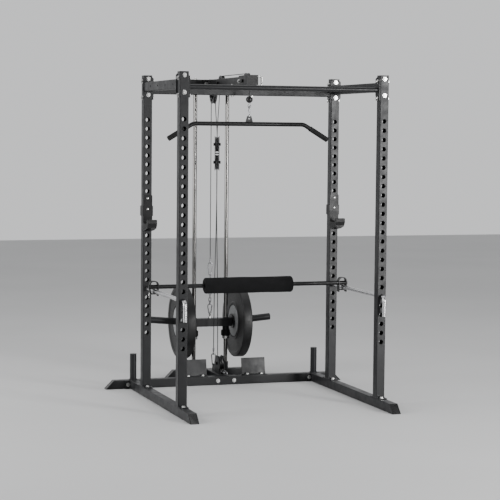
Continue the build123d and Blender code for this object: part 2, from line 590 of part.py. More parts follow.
# The double block that hangs between the upper and the lower cable, turned a little on them
BLOCK_MID_Z = (BLOCK_TOP_Z + BLOCK_LOW_Z) / 2
BLOCK_PLATE_X = PULLEY_HALF + 1.5
BLOCK_PLATE_T = 3.0
BLOCK_PLATE_REACH = 51.0
BLOCK_PLATE_WIDTH = 28.0
with BuildPart() as block_plates:
    middle = Vector(0, BLOCK_Y, BLOCK_MID_Z)
    for side in (-1, 1):
        face = Plane(origin=middle + BLOCK_AXLE * side * BLOCK_PLATE_X, x_dir=(0, 0, 1),
                     z_dir=BLOCK_AXLE * side)
        with BuildSketch(face):
            SlotOverall(BLOCK_TOP_Z - BLOCK_LOW_Z + 2 * BLOCK_PLATE_REACH, BLOCK_PLATE_WIDTH)
            with Locations(((BLOCK_TOP_Z - BLOCK_LOW_Z) / 2, 0), ((BLOCK_LOW_Z - BLOCK_TOP_Z) / 2, 0)):
                Circle(AXLE_BORE_R, mode=Mode.SUBTRACT)
        extrude(amount=BLOCK_PLATE_T)
    bar(middle - BLOCK_AXLE * BLOCK_PLATE_X, BLOCK_AXLE, 3.5, 2 * BLOCK_PLATE_X)
save(block_plates.part, "block_plates")

with BuildPart() as pulley_axles:
    for centre, axle, outer in (
            (Vector(0, FRONT_PULLEY_Y, BOOM_Z), Vector(*ACROSS), HALF + HOUSING_T),
            (Vector(0, REAR_PULLEY_Y, BOOM_Z), Vector(*ACROSS), HALF),
            (Vector(0, HANGING_Y, HANGING_Z), Vector(*ACROSS), CHEEK_X + CHEEK_T),
            (Vector(0, LOW_PULLEY_Y, LOW_PULLEY_Z), Vector(*ACROSS), LOW_CHEEK_X + LOW_CHEEK_T),
            (Vector(0, BLOCK_Y, BLOCK_TOP_Z), BLOCK_AXLE, BLOCK_PLATE_X + BLOCK_PLATE_T),
            (Vector(0, BLOCK_Y, BLOCK_LOW_Z), BLOCK_AXLE, BLOCK_PLATE_X + BLOCK_PLATE_T)):
        bar(centre - axle * outer, axle, AXLE_R, 2 * outer)
        hexagon(centre - axle * outer, -axle, AXLE_HEAD_H, AXLE_HEAD_R)
        hexagon(centre + axle * outer, axle, AXLE_HEAD_H, AXLE_HEAD_R)
    # Spacer tubes keep the two boom pulleys in the middle of the wide tube
    for centre_y, reach in ((FRONT_PULLEY_Y, HALF), (REAR_PULLEY_Y, HALF - WALL)):
        for side in (-1, 1):
            bar((side * (PULLEY_HALF + 0.2), centre_y, BOOM_Z), (side, 0, 0), 9, reach - PULLEY_HALF - 0.4)
save(pulley_axles.part, "pulley_axles")


# ---- fasteners of the frame --------------------------------------------------------------
with BuildPart() as frame_bolts:
    for side in (-1, 1):
        x = side * UPRIGHT_X
        for rise in (-1, 1):
            beam_bolt_z = SIDE_BEAM_Z + rise * SIDE_BOLT
            bolt((x, -UPRIGHT_Y - HALF, beam_bolt_z), (0, 1, 0), TUBE + FLANGE_T)
            bolt((x, UPRIGHT_Y - HALF - FLANGE_T, beam_bolt_z), (0, 1, 0), TUBE + FLANGE_T)
            for y in (-UPRIGHT_Y, UPRIGHT_Y):
                bolt((side * (UPRIGHT_X + HALF), y, CROSS_BEAM_Z + rise * CROSS_BOLT), (-side, 0, 0),
                     TUBE + FLANGE_T)
                bolt((x, y + rise * FOOT_BOLT_Y, TUBE + FOOT_T), (0, 0, -1), FOOT_T + WALL + 2, nut=False)
            bolt((x + rise * BASE_FLANGE_BOLT, CROSS_Y - HALF - BASE_FLANGE_T, HALF), (0, 1, 0),
                 TUBE + BASE_FLANGE_T)
    for side in (-1, 1):
        bolt((side * CENTRE_BOLT_X, CROSS_Y - HALF, HALF), (0, 1, 0), TUBE + FLANGE_T)
        bolt((side * SADDLE_BOLT_X, UPRIGHT_Y, BOOM_LOW), (0, 0, -1), SADDLE_T + TUBE)
        bolt((side * JOIN_BOLT_X, TOWER_JOIN_Y - FLANGE_T, BOOM_Z), (0, 1, 0), TUBE + FLANGE_T)
        bolt((side * ROD_X, ROD_Y, BOOM_HIGH), (0, 0, -1), TUBE + ROD_BOLT_DEPTH, nut=False)
        for offset_x in (-FOOT_PLATE_BOLT, FOOT_PLATE_BOLT):
            bolt((side * FOOT_PLATE_X + offset_x, CROSS_Y - 8, TUBE + FOOT_PLATE_T), (0, 0, -1),
                 FOOT_PLATE_T + WALL + 2, nut=False)
    bolt((-HALF - HOUSING_T, HOUSING_BOLT_Y, BOOM_Z), (1, 0, 0), TUBE + 2 * HOUSING_T)
save(frame_bolts.part, "frame_bolts")


# ---- cables ------------------------------------------------------------------------------
def strand(start, end):
    """A run that leaves both pulleys straight up or down: two long arcs that meet halfway."""
    start, end = Vector(*start), Vector(*end)
    first = TangentArc(start, (start + end) / 2, tangent=(0, 0, end.Z - start.Z))
    TangentArc((start + end) / 2, end, tangent=first % 1)


def quarter_turn(centre, start, end):
    """A quarter of a turn round a pulley, between two points on its groove."""
    centre, start, end = Vector(*centre), Vector(*start), Vector(*end)
    halfway = (start + end) / 2 - centre
    ThreePointArc(start, centre + halfway.normalized() * PITCH_R, end)


BLOCK_TOP = Vector(0, BLOCK_Y, BLOCK_TOP_Z)
BLOCK_LOW = Vector(0, BLOCK_Y, BLOCK_LOW_Z)
DOWN_Y = REAR_PULLEY_Y + PITCH_R
LIFT_Y = HANGING_Y - PITCH_R
with BuildPart() as cable_main:
    with BuildLine() as main_path:
        quarter_turn((0, FRONT_PULLEY_Y, BOOM_Z), (0, LAT_Y, BOOM_Z), (0, FRONT_PULLEY_Y, CABLE_TOP_Z))
        Line((0, FRONT_PULLEY_Y, CABLE_TOP_Z), (0, REAR_PULLEY_Y, CABLE_TOP_Z))
        quarter_turn((0, REAR_PULLEY_Y, BOOM_Z), (0, REAR_PULLEY_Y, CABLE_TOP_Z), (0, DOWN_Y, BOOM_Z))
        strand((0, DOWN_Y, BOOM_Z), BLOCK_TOP - TWIST * PITCH_R)
        ThreePointArc(BLOCK_TOP - TWIST * PITCH_R, BLOCK_TOP - Vector(0, 0, PITCH_R),
                      BLOCK_TOP + TWIST * PITCH_R)
        strand(BLOCK_TOP + TWIST * PITCH_R, (0, LIFT_Y, HANGING_Z))
        ThreePointArc((0, LIFT_Y, HANGING_Z), (0, HANGING_Y, HANGING_Z + PITCH_R), (0, ROD_Y, HANGING_Z))
    wire_loop(main_path.wire(), CABLE_R)
save(cable_main.part, "cable_main")

LOW_CABLE_Z = LOW_PULLEY_Z - PITCH_R
LOW_BALL_R = 17.0
LOW_BALL_Y = LOW_PULLEY_Y - 65
LOW_CABLE_END_Z = 190.0
with BuildPart() as cable_low:
    with BuildLine() as low_path:
        Line((0, LOW_BALL_Y + LOW_BALL_R, LOW_CABLE_Z), (0, LOW_PULLEY_Y, LOW_CABLE_Z))
        quarter_turn((0, LOW_PULLEY_Y, LOW_PULLEY_Z), (0, LOW_PULLEY_Y, LOW_CABLE_Z),
                     (0, DOWN_Y, LOW_PULLEY_Z))
        strand((0, DOWN_Y, LOW_PULLEY_Z), BLOCK_LOW - TWIST * PITCH_R)
        ThreePointArc(BLOCK_LOW - TWIST * PITCH_R, BLOCK_LOW + Vector(0, 0, PITCH_R),
                      BLOCK_LOW + TWIST * PITCH_R)
        strand(BLOCK_LOW + TWIST * PITCH_R, (0, ANCHOR_Y, LOW_CABLE_END_Z))
    wire_loop(low_path.wire(), CABLE_R)
save(cable_low.part, "cable_low")

# The two free strands change length as the carriage rises
CARRIAGE_CABLE_END_Z = 745.0
with BuildPart() as cable_lat_strand:
    bar((0, LAT_Y, BALL_Z + BALL_R), (0, 0, 1), CABLE_R, BOOM_Z - BALL_Z - BALL_R)
save(cable_lat_strand.part, "cable_lat_strand")
with BuildPart() as cable_carriage_strand:
    bar((0, ROD_Y, CARRIAGE_CABLE_END_Z), (0, 0, 1), CABLE_R, HANGING_Z - CARRIAGE_CABLE_END_Z)
save(cable_carriage_strand.part, "cable_carriage_strand")

# ---- low row end and cable anchor --------------------------------------------------------
with BuildPart() as low_ball_stop:
    with Locations((0, LOW_BALL_Y, LOW_CABLE_Z)):
        Sphere(LOW_BALL_R)
    bar((0, LOW_BALL_Y - LOW_BALL_R - 1, LOW_CABLE_Z), (0, 1, 0), STUD_R + 0.05, 12, Mode.SUBTRACT)
save(low_ball_stop.part, "low_ball_stop")

SNAP_WIRE_R = 3.5
with BuildPart() as low_carabiners:
    anchor_top = ANCHOR_HOLE_Z + 73
    wire_loop(pear_path(Plane((0, ANCHOR_Y, 0), x_dir=(1, 0, 0), z_dir=(0, -1, 0)), anchor_top,
                        ANCHOR_HOLE_Z + 1.3, 13, 7.5), SNAP_WIRE_R)
    wire_loop(pear_path(Plane((0, ANCHOR_Y, 0), x_dir=(0, 1, 0), z_dir=(1, 0, 0)), anchor_top + 17,
                        anchor_top - 6.3, 5, 8), CABLE_R)
    bar((0, ANCHOR_Y, anchor_top + 15), (0, 0, 1), 6, LOW_CABLE_END_Z - anchor_top - 15)
    eye_y = LOW_BALL_Y - LOW_BALL_R - 10
    bar((0, eye_y + EYE_R - 1, LOW_CABLE_Z), (0, 1, 0), STUD_R, 13)
    ring((0, eye_y, LOW_CABLE_Z), (0, 0, 1), EYE_R, CABLE_R)
    wire_loop(pear_path(Plane((0, 0, LOW_CABLE_Z), x_dir=(0, 0, 1), z_dir=(-1, 0, 0)), eye_y - 2.2,
                        eye_y - 62, 10, 7), 3)
save(low_carabiners.part, "low_carabiners")

# ---- weight carriage ---------------------------------------------------------------------
PEG_LEAN = radians(PEG_ANGLE)
SLEEVE_HEIGHT = SLEEVE_HIGH - SLEEVE_LOW
with BuildPart() as carriage:
    block((-CARRIAGE_HALF, CARRIAGE_HALF), (ROD_Y - CARRIAGE_SECTION / 2, ROD_Y + CARRIAGE_SECTION / 2),
          (CARRIAGE_Z - CARRIAGE_SECTION / 2, CARRIAGE_TOP))
    core = CARRIAGE_SECTION / 2 - WALL
    block((-CARRIAGE_HALF + 5, CARRIAGE_HALF - 5), (ROD_Y - core, ROD_Y + core),
          (CARRIAGE_Z - core, CARRIAGE_Z + core), Mode.SUBTRACT)
    for side in (-1, 1):
        outward = Vector(side * cos(PEG_LEAN), 0, sin(PEG_LEAN))
        root = Vector(side * PEG_ROOT_X, ROD_Y, CARRIAGE_Z)
        bar((side * ROD_X, ROD_Y, SLEEVE_LOW), (0, 0, 1), SLEEVE_R, SLEEVE_HEIGHT)
        bar(root, outward, PEG_R, (PEG_END_X - PEG_ROOT_X) / cos(PEG_LEAN))
        bar(root + outward * (STOP_X - PEG_ROOT_X), outward, 45, 6)
        bar((side * ROD_X, ROD_Y, SLEEVE_LOW - 1), (0, 0, 1), BUSH_R, SLEEVE_HEIGHT + 2, Mode.SUBTRACT)
save(carriage.part, "carriage")

with BuildPart() as carriage_bushings:
    for x in (-ROD_X, ROD_X):
        bar((x, ROD_Y, SLEEVE_LOW), (0, 0, 1), BUSH_R, SLEEVE_HEIGHT)
        bar((x, ROD_Y, SLEEVE_HIGH), (0, 0, 1), SLEEVE_R, 2)
        bar((x, ROD_Y, SLEEVE_LOW - 1), (0, 0, 1), ROD_R + 0.05, SLEEVE_HEIGHT + 4, Mode.SUBTRACT)
save(carriage_bushings.part, "carriage_bushings")

EYE_Z = 395.3
LIFT_EYE_R = 11.0
LIFT_EYE_WIRE_R = 4.0
with BuildPart() as lift_eye:
    ring((0, ROD_Y, EYE_Z), (1, 0, 0), LIFT_EYE_R, LIFT_EYE_WIRE_R)
    bar((0, ROD_Y, CARRIAGE_TOP), (0, 0, 1), 5, EYE_Z - LIFT_EYE_R - CARRIAGE_TOP)
    bar((0, ROD_Y, CARRIAGE_TOP), (0, 0, 1), 13, 2.5)
    hexagon((0, ROD_Y, CARRIAGE_TOP + 2.5), (0, 0, 1), 8, 10)
save(lift_eye.part, "lift_eye")

# Chain from the carriage's eye to the cable: each piece hangs 0.3 mm off the next
LINK_R = 2.5
LINK_LENGTH = 25.8
LINK_PITCH = 20.5
LINK_COUNT = 9
FIRST_LINK_TOP = 638.8
CHAIN_SNAP_TOP = 455.5
CHAIN_SNAP_LOW = 398.5
CABLE_SNAP_TOP = 712.5
CABLE_SNAP_LOW = 632.5
SWIVEL_TOP = 730.0
SWIVEL_LOW = 706.2
FERRULE_LOW = 727.0
FERRULE_R = 6.0
CHAIN_FRONT = Plane((0, ROD_Y, 0), x_dir=(1, 0, 0), z_dir=(0, -1, 0))
CHAIN_SIDE = Plane((0, ROD_Y, 0), x_dir=(0, 1, 0), z_dir=(1, 0, 0))
with BuildPart() as lift_chain:
    wire_loop(pear_path(CHAIN_FRONT, CHAIN_SNAP_TOP, CHAIN_SNAP_LOW, 13, 8), SNAP_WIRE_R)
    for link in range(LINK_COUNT):
        link_top = FIRST_LINK_TOP - link * LINK_PITCH
        link_plane = CHAIN_SIDE if link % 2 == 0 else CHAIN_FRONT
        wire_loop(pear_path(link_plane, link_top, link_top - LINK_LENGTH, 7, 7), LINK_R)
save(lift_chain.part, "lift_chain")

with BuildPart() as cable_end_fitting:
    wire_loop(pear_path(CHAIN_FRONT, CABLE_SNAP_TOP, CABLE_SNAP_LOW, 14, 7), SNAP_WIRE_R)
    wire_loop(pear_path(CHAIN_SIDE, SWIVEL_TOP, SWIVEL_LOW, 4, 9), LINK_R)
    bar((0, ROD_Y, FERRULE_LOW), (0, 0, 1), FERRULE_R, CARRIAGE_CABLE_END_Z - FERRULE_LOW)
save(cable_end_fitting.part, "cable_end_fitting")

# Weight plates: the hole's top rests on the peg at the plate's outer face
PEG_RISE_AT_PLATE = (PLATE_X + PLATE_HALF_T - PEG_ROOT_X) * tan(PEG_LEAN)
PLATE_Z = CARRIAGE_Z + PEG_RISE_AT_PLATE + PEG_R / cos(PEG_LEAN) + 0.3 - PLATE_BORE_R
PLATE_RIM = 26.0
PLATE_HUB_R = 96.0
PLATE_RECESS = 4.0
for side_name, side in LEFT_RIGHT:
    inner_face = Plane((side * (PLATE_X - PLATE_HALF_T), ROD_Y, PLATE_Z), z_dir=(side, 0, 0))
    with BuildPart() as plate:
        with BuildSketch(inner_face):
            Circle(PLATE_R)
            Circle(PLATE_BORE_R, mode=Mode.SUBTRACT)
        extrude(amount=2 * PLATE_HALF_T)
        with BuildSketch(inner_face, inner_face.offset(2 * PLATE_HALF_T - PLATE_RECESS)):
            Circle(PLATE_R - PLATE_RIM)
            Circle(PLATE_HUB_R, mode=Mode.SUBTRACT)
        extrude(amount=PLATE_RECESS, mode=Mode.SUBTRACT)
        chamfer(plate.edges().filter_by(GeomType.CIRCLE).filter_by(lambda edge: edge.radius > PLATE_R - 1), 3)
    save(plate.part, f"weight_plate_{side_name}")

# ---- lat bar -----------------------------------------------------------------------------
HANGER_HOLE_R = 6.5
HANGER_HOLE_Z = 1599.8
with BuildPart() as lat_ball_stop:
    with Locations((0, LAT_Y, BALL_Z)):
        Sphere(BALL_R)
    bar((0, LAT_Y, BALL_Z - BALL_R - 1), (0, 0, 1), STUD_R + 0.05, 11, Mode.SUBTRACT)
save(lat_ball_stop.part, "lat_ball_stop")

with BuildPart() as lat_carabiner:
    ring_z = BALL_Z - BALL_R - 17.8
    bar((0, LAT_Y, ring_z + 8), (0, 0, 1), STUD_R, 19)
    bar((0, LAT_Y, ring_z + 10), (0, 0, 1), 7, 7.5)
    ring((0, LAT_Y, ring_z), (0, 1, 0), EYE_R, CABLE_R)
    wire_loop(pear_path(Plane((0, LAT_Y, 0), x_dir=(0, 1, 0), z_dir=(1, 0, 0)), ring_z - 2.2,
                        HANGER_HOLE_Z + 1.8, 10, 7), 3)
save(lat_carabiner.part, "lat_carabiner")

GRIP_LENGTH = 125.0
GRIP_R = 15.5
with BuildPart() as lat_bar:
    with BuildLine() as lat_path:
        end_z = LAT_BAR_Z - LAT_END_DROP
        FilletPolyline((-LAT_END_X, LAT_Y, end_z), (-LAT_BEND_X, LAT_Y, LAT_BAR_Z),
                       (LAT_BEND_X, LAT_Y, LAT_BAR_Z), (LAT_END_X, LAT_Y, end_z), radius=60)
    wire_loop(lat_path.wire(), LAT_BAR_R)
    with BuildSketch(Plane((0, LAT_Y + 3, 0), x_dir=(1, 0, 0), z_dir=(0, -1, 0))):
        with BuildLine():
            Polyline((-23, LAT_BAR_Z + 8), (-12, LAT_BAR_Z + 45.6), (12, LAT_BAR_Z + 45.6),
                     (23, LAT_BAR_Z + 8), close=True)
        make_face()
        with Locations((0, HANGER_HOLE_Z)):
            Circle(HANGER_HOLE_R, mode=Mode.SUBTRACT)
    extrude(amount=6)
save(lat_bar.part, "lat_bar")

with BuildPart() as lat_bar_grips:
    for side in (-1, 1):
        bar_end = Vector(side * LAT_END_X, LAT_Y, LAT_BAR_Z - LAT_END_DROP)
        inward = Vector(side * (LAT_BEND_X - LAT_END_X), 0, LAT_END_DROP).normalized()
        bar(bar_end - inward * 3, inward, GRIP_R, GRIP_LENGTH + 3)
        bar(bar_end, inward, LAT_BAR_R, GRIP_LENGTH + 1, Mode.SUBTRACT)
save(lat_bar_grips.part, "lat_bar_grips")

# ---- J-hooks on the rear uprights --------------------------------------------------------
HOOK_FACE_Y = UPRIGHT_Y - HALF - 0.1
HOOK_FRONT_Y = HOOK_FACE_Y - HOOK_T
EAR_GAP = 0.4
EAR_T = 5.0
LINER_HALF = 27.0


def hook_outline(points):
    """A filled side view, from points given as reach in front of the plate and height."""
    with BuildLine() as outline:
        Polyline([(HOOK_FRONT_Y - reach, HOOK_BOTTOM + height) for reach, height in points], close=True)
    make_face(outline.edges())


for side_name, side in LEFT_RIGHT:
    x = side * UPRIGHT_X
    with BuildPart() as jhook:
        block((x - LINER_HALF, x + LINER_HALF), (HOOK_FRONT_Y, HOOK_FACE_Y), (HOOK_BOTTOM, HOOK_TOP))
        ear_out = HALF + EAR_GAP + EAR_T
        ear_zs = (HOOK_PIN_Z - 40, HOOK_PIN_Z + 18)
        block((x - ear_out, x + ear_out), (HOOK_FRONT_Y, HOOK_FACE_Y), ear_zs)
        for ear in (-1, 1):
            block((x + ear * (HALF + EAR_GAP), x + ear * ear_out), (HOOK_FRONT_Y, UPRIGHT_Y + HALF - 2), ear_zs)
        bar((x, HOOK_FACE_Y - 1, HOOK_PIN_Z), (0, 1, 0), HOLE_R - 0.7, TUBE + 12)
        for rivet_z in (HOOK_TOP - 20, HOOK_PIN_Z):
            bar((x, HOOK_FRONT_Y + 1, rivet_z), (0, -1, 0), 6, 3)
        with BuildSketch(Plane.YZ.offset(x - LINER_HALF)):
            hook_outline(((-1, 0), (-1, 9.5), (0, 9.5), (40, 13.5), (92, 27), (92, 21), (40, 6), (0, 0)))
        extrude(amount=2 * LINER_HALF)
        fillet(jhook.edges().filter_by(Axis.Y).sort_by(Axis.Z)[-2:], 8)
    save(jhook.part, f"jhook_{side_name}")

    with BuildPart() as liner:
        with BuildSketch(Plane.YZ.offset(x - LINER_HALF)):
            hook_outline(((0.1, 10), (0.1, 52), (12, 44), (70, 44), (78, 68), (104, 68), (106, 48), (96, 28),
                          (40, 14)))
        extrude(amount=2 * LINER_HALF)
        fillet(liner.edges().filter_by(Axis.X).sort_by(Axis.Z)[3:], 2.5)
    save(liner.part, f"jhook_liner_{side_name}")

# ---- safety rods and leg roller ----------------------------------------------------------
for side_name, side in LEFT_RIGHT:
    x = side * UPRIGHT_X
    with BuildPart() as safety_rod:
        with BuildLine() as rod_path:
            FilletPolyline((x, SAFETY_REAR_Y, SAFETY_Z), (x, SAFETY_FRONT_Y, SAFETY_Z),
                           (x, SAFETY_FRONT_Y, SAFETY_END_Z), radius=25)
        wire_loop(rod_path.wire(), SAFETY_R)
    save(safety_rod.part, f"safety_rod_{side_name}")

FORK_T = 5.0
FORK_DEPTH = 30.0
FORK_LOW = SAFETY_Z - 26.4
FORK_HIGH = ROLLER_Z + 31.3
KEEPER_R = 4.0
BAR_END_X = UPRIGHT_X + FORK_HALF + 7
with BuildPart() as roller_bar:
    bar((-BAR_END_X, ROLLER_Y, ROLLER_Z), (1, 0, 0), ROLLER_BAR_R, 2 * BAR_END_X)
    for side in (-1, 1):
        x = side * UPRIGHT_X
        with BuildSketch(Plane.XZ.offset(-ROLLER_Y - FORK_DEPTH / 2)):
            with BuildLine():
                FilletPolyline((x - FORK_HALF, FORK_LOW), (x - FORK_HALF, FORK_HIGH),
                               (x + FORK_HALF, FORK_HIGH), (x + FORK_HALF, FORK_LOW), radius=18)
                offset(amount=FORK_T / 2, side=Side.BOTH)
            make_face()
        extrude(amount=FORK_DEPTH)
        bar((x - FORK_HALF, ROLLER_Y, SAFETY_Z - SAFETY_R - KEEPER_R - 1), (1, 0, 0), KEEPER_R, 2 * FORK_HALF)
save(roller_bar.part, "roller_bar")

with BuildPart() as foam_roller:
    bar((FOAM_X - FOAM_HALF, ROLLER_Y, ROLLER_Z), (1, 0, 0), FOAM_R, 2 * FOAM_HALF)
    fillet(foam_roller.edges().filter_by(GeomType.CIRCLE), 6)
    bar((FOAM_X - FOAM_HALF - 1, ROLLER_Y, ROLLER_Z), (1, 0, 0), ROLLER_BAR_R + 0.3, 2 * FOAM_HALF + 2,
        Mode.SUBTRACT)
save(foam_roller.part, "foam_roller")
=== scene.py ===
import json
import math
import random
import bmesh
import bpy
from mathutils import Matrix, Vector


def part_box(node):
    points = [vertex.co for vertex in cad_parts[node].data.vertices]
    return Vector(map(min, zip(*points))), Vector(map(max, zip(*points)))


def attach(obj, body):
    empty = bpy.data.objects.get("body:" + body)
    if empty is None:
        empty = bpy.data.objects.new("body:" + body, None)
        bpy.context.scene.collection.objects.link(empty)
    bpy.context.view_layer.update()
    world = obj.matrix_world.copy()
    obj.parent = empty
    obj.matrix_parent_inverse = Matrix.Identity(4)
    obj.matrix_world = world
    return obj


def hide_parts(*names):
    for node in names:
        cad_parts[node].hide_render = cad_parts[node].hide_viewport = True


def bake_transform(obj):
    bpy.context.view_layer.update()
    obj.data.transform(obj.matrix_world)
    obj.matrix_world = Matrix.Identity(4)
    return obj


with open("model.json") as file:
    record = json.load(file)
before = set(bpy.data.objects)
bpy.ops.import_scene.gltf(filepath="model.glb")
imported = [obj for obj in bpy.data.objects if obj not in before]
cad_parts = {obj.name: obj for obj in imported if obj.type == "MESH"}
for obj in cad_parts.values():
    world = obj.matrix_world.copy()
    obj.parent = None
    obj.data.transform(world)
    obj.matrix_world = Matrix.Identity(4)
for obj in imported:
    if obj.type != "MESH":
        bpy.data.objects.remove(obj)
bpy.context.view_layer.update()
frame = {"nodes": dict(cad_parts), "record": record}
NODES = frame["nodes"]
random.seed(7)

# ---- sizes taken from the CAD model, in metres ---------------------------------------------
TUBE = 0.0508
HALF = TUBE / 2
CORNER = 0.004
UPRIGHT_X, UPRIGHT_Y = 0.5715, 0.3683
SIDE_BEAM_Z = 1.772
CROSS_BEAM_Z = 1.7572
BOOM_Z = 1.8144
END_CAP_T = 0.004
UPRIGHT_CAP_T = 0.003
PLATE_BORE_R = 0.0254
FOAM_BORE_R = 0.0126
PULLEY_HALF = 0.0100
BLOCK_TWIST = math.radians(-18.6)
HOOK_RIVET_HEIGHTS = (1.138, 1.0776)
KEEPER_END = 0.0231  # from an upright's middle to just past the end of a fork's keeper pin
KEEPER_Z = 0.6044
LAT_END_X, LAT_END_Z = 0.480, 1.480
LAT_END_RUN, LAT_END_DROP = 0.146, 0.087

# ---- places of the weld beads, in metres ---------------------------------------------------
FOOT_WELD_Z = 0.0562
WELD_SETBACK = 0.0064
BAR_WELD_R = 0.0145
LIFT = 0.0015  # keeps the beads of floor-level tubes off the floor


# ---- camera --------------------------------------------------------------------------------
CAMERA_PLACE = Vector((-3.010, -8.750, 1.513))
YAW, PITCH, ROLL = math.radians(18.59), math.radians(4.05), math.radians(0.51)
SENSOR_WIDTH, LENS = 36, 118.5


def make_camera():
    """Looks at the cage from the front left, from about four fifths of its height."""
    ahead = Vector((math.sin(YAW), math.cos(YAW), 0))
    side = Vector((math.cos(YAW), -math.sin(YAW), 0))
    forward = ahead * math.cos(PITCH) - Vector((0, 0, 1)) * math.sin(PITCH)
    up = Vector((0, 0, 1)) * math.cos(PITCH) + ahead * math.sin(PITCH)
    right = side * math.cos(ROLL) + up * math.sin(ROLL)
    top = up * math.cos(ROLL) - side * math.sin(ROLL)
    data = bpy.data.cameras.new("camera")
    data.sensor_width = SENSOR_WIDTH
    data.lens = LENS
    data.clip_end = 100
    camera = bpy.data.objects.new("camera", data)
    bpy.context.collection.objects.link(camera)
    axes = Matrix((right, top, -forward)).transposed().to_4x4()
    camera.matrix_world = Matrix.Translation(CAMERA_PLACE) @ axes
    bpy.context.scene.camera = camera


make_camera()


# ---- materials -----------------------------------------------------------------------------
class Surface:
    """A Principled material whose detail comes from procedural textures in the object's own space."""

    def __init__(self, name, roughness, metallic=0.0, specular=0.5):
        self.material = bpy.data.materials.new(name)
        self.material.use_nodes = True
        self.nodes = self.material.node_tree.nodes
        self.links = self.material.node_tree.links
        self.shader = self.nodes["Principled BSDF"]
        self.shader.inputs["Roughness"].default_value = roughness
        self.shader.inputs["Metallic"].default_value = metallic
        self.shader.inputs["Specular IOR Level"].default_value = specular
        self.place = self.nodes.new("ShaderNodeTexCoord").outputs["Object"]
        self.bump_input = None

    def link(self, source, target):
        self.links.new(source, target)

    def stretched(self, scale):
        """The object's space with a scale of its own along each axis."""
        mapping = self.nodes.new("ShaderNodeMapping")
        mapping.inputs["Scale"].default_value = scale
        self.link(self.place, mapping.inputs["Vector"])
        return mapping.outputs["Vector"]

    def noise(self, scale, detail=4.0, roughness=0.55, place=None):
        node = self.nodes.new("ShaderNodeTexNoise")
        node.inputs["Scale"].default_value = scale
        node.inputs["Detail"].default_value = detail
        node.inputs["Roughness"].default_value = roughness
        self.link(place or self.place, node.inputs["Vector"])
        return node.outputs["Fac"]

    def cells(self, scale):
        node = self.nodes.new("ShaderNodeTexVoronoi")
        node.inputs["Scale"].default_value = scale
        self.link(self.place, node.inputs["Vector"])
        return node.outputs["Distance"]

    def ramp(self, source, stops):
        """Colours along a value: stops are (position, colour)."""
        node = self.nodes.new("ShaderNodeValToRGB")
        elements = node.color_ramp.elements
        elements[0].position, elements[0].color = stops[0][0], (*stops[0][1], 1)
        elements[1].position, elements[1].color = stops[-1][0], (*stops[-1][1], 1)
        for position, colour in stops[1:-1]:
            elements.new(position).color = (*colour, 1)
        self.link(source, node.inputs["Fac"])
        return node.outputs["Color"]

    def colour(self, source):
        self.link(source, self.shader.inputs["Base Color"])

    def spread(self, source, low, high, from_low=0.3, from_high=0.7):
        """A value turned into a range of numbers."""
        node = self.nodes.new("ShaderNodeMapRange")
        node.inputs["From Min"].default_value = from_low
        node.inputs["From Max"].default_value = from_high
        node.inputs["To Min"].default_value = low
        node.inputs["To Max"].default_value = high
        self.link(source, node.inputs["Value"])
        return node.outputs["Result"]

    def rough(self, source, low, high):
        self.link(self.spread(source, low, high), self.shader.inputs["Roughness"])

    def mix(self, factor, first, second):
        node = self.nodes.new("ShaderNodeMix")
        node.data_type = "RGBA"
        self.link(factor, node.inputs["Factor"])
        self.link(first, node.inputs["A"])
        self.link(second, node.inputs["B"])
        return node.outputs["Result"]

    def bump(self, source, strength, distance):
        node = self.nodes.new("ShaderNodeBump")
        node.inputs["Strength"].default_value = strength
        node.inputs["Distance"].default_value = distance
        self.link(source, node.inputs["Height"])
        if self.bump_input:
            self.link(self.bump_input, node.inputs["Normal"])
        self.bump_input = node.outputs["Normal"]
        self.link(self.bump_input, self.shader.inputs["Normal"])


def shade(colour, factor):
    return tuple(min(1.0, part * factor) for part in colour)


def powder_coat(name, colour, roughness, specular):
    """Baked paint: slight mottling, orange peel, and a few fine rubbed streaks."""
    made = Surface(name, roughness, specular=specular)
    mottle = made.noise(9.0, 6.0)
    paint = made.ramp(mottle, ((0.3, shade(colour, 0.86)), (0.55, colour), (0.75, shade(colour, 1.16))))
    rub = made.noise(60.0, 8.0, 0.7, made.stretched((1.0, 1.0, 0.12)))
    rubbed = made.ramp(rub, ((0.62, (0, 0, 0)), (0.78, (1, 1, 1))))
    worn = made.ramp(made.noise(240.0, 2.0), ((0.3, shade(colour, 1.4)), (0.7, shade(colour, 2.0))))
    made.colour(made.mix(rubbed, paint, worn))
    made.rough(made.noise(26.0, 5.0), roughness - 0.07, roughness + 0.09)
    made.bump(made.noise(1400.0, 2.0), 0.10, 0.0004)
    made.bump(made.noise(320.0, 3.0), 0.06, 0.0006)
    return made.material


def zinc_plate(name, tint=(0.66, 0.66, 0.65)):
    """Bright zinc with soft cloudy patches."""
    made = Surface(name, 0.3, metallic=1.0)
    cloud = made.noise(110.0, 5.0, 0.6)
    made.colour(made.ramp(cloud, ((0.3, shade(tint, 0.8)), (0.5, tint), (0.7, shade(tint, 1.1)))))
    made.rough(made.noise(300.0, 4.0), 0.2, 0.38)
    made.bump(made.cells(900.0), 0.08, 0.0003)
    return made.material


def chrome_plate(name, along, tint, roughness):
    """Polished plate with fine draw lines along one axis and faint clouding."""
    made = Surface(name, roughness, metallic=1.0)
    scale = [1.0, 1.0, 1.0]
    scale[along] = 0.01
    lines = made.noise(900.0, 3.0, 0.6, made.stretched(scale))
    cloud = made.noise(14.0, 4.0)
    made.colour(made.ramp(cloud, ((0.3, shade(tint, 0.88)), (0.7, shade(tint, 1.08)))))
    made.rough(lines, roughness, roughness + 0.04)
    return made.material


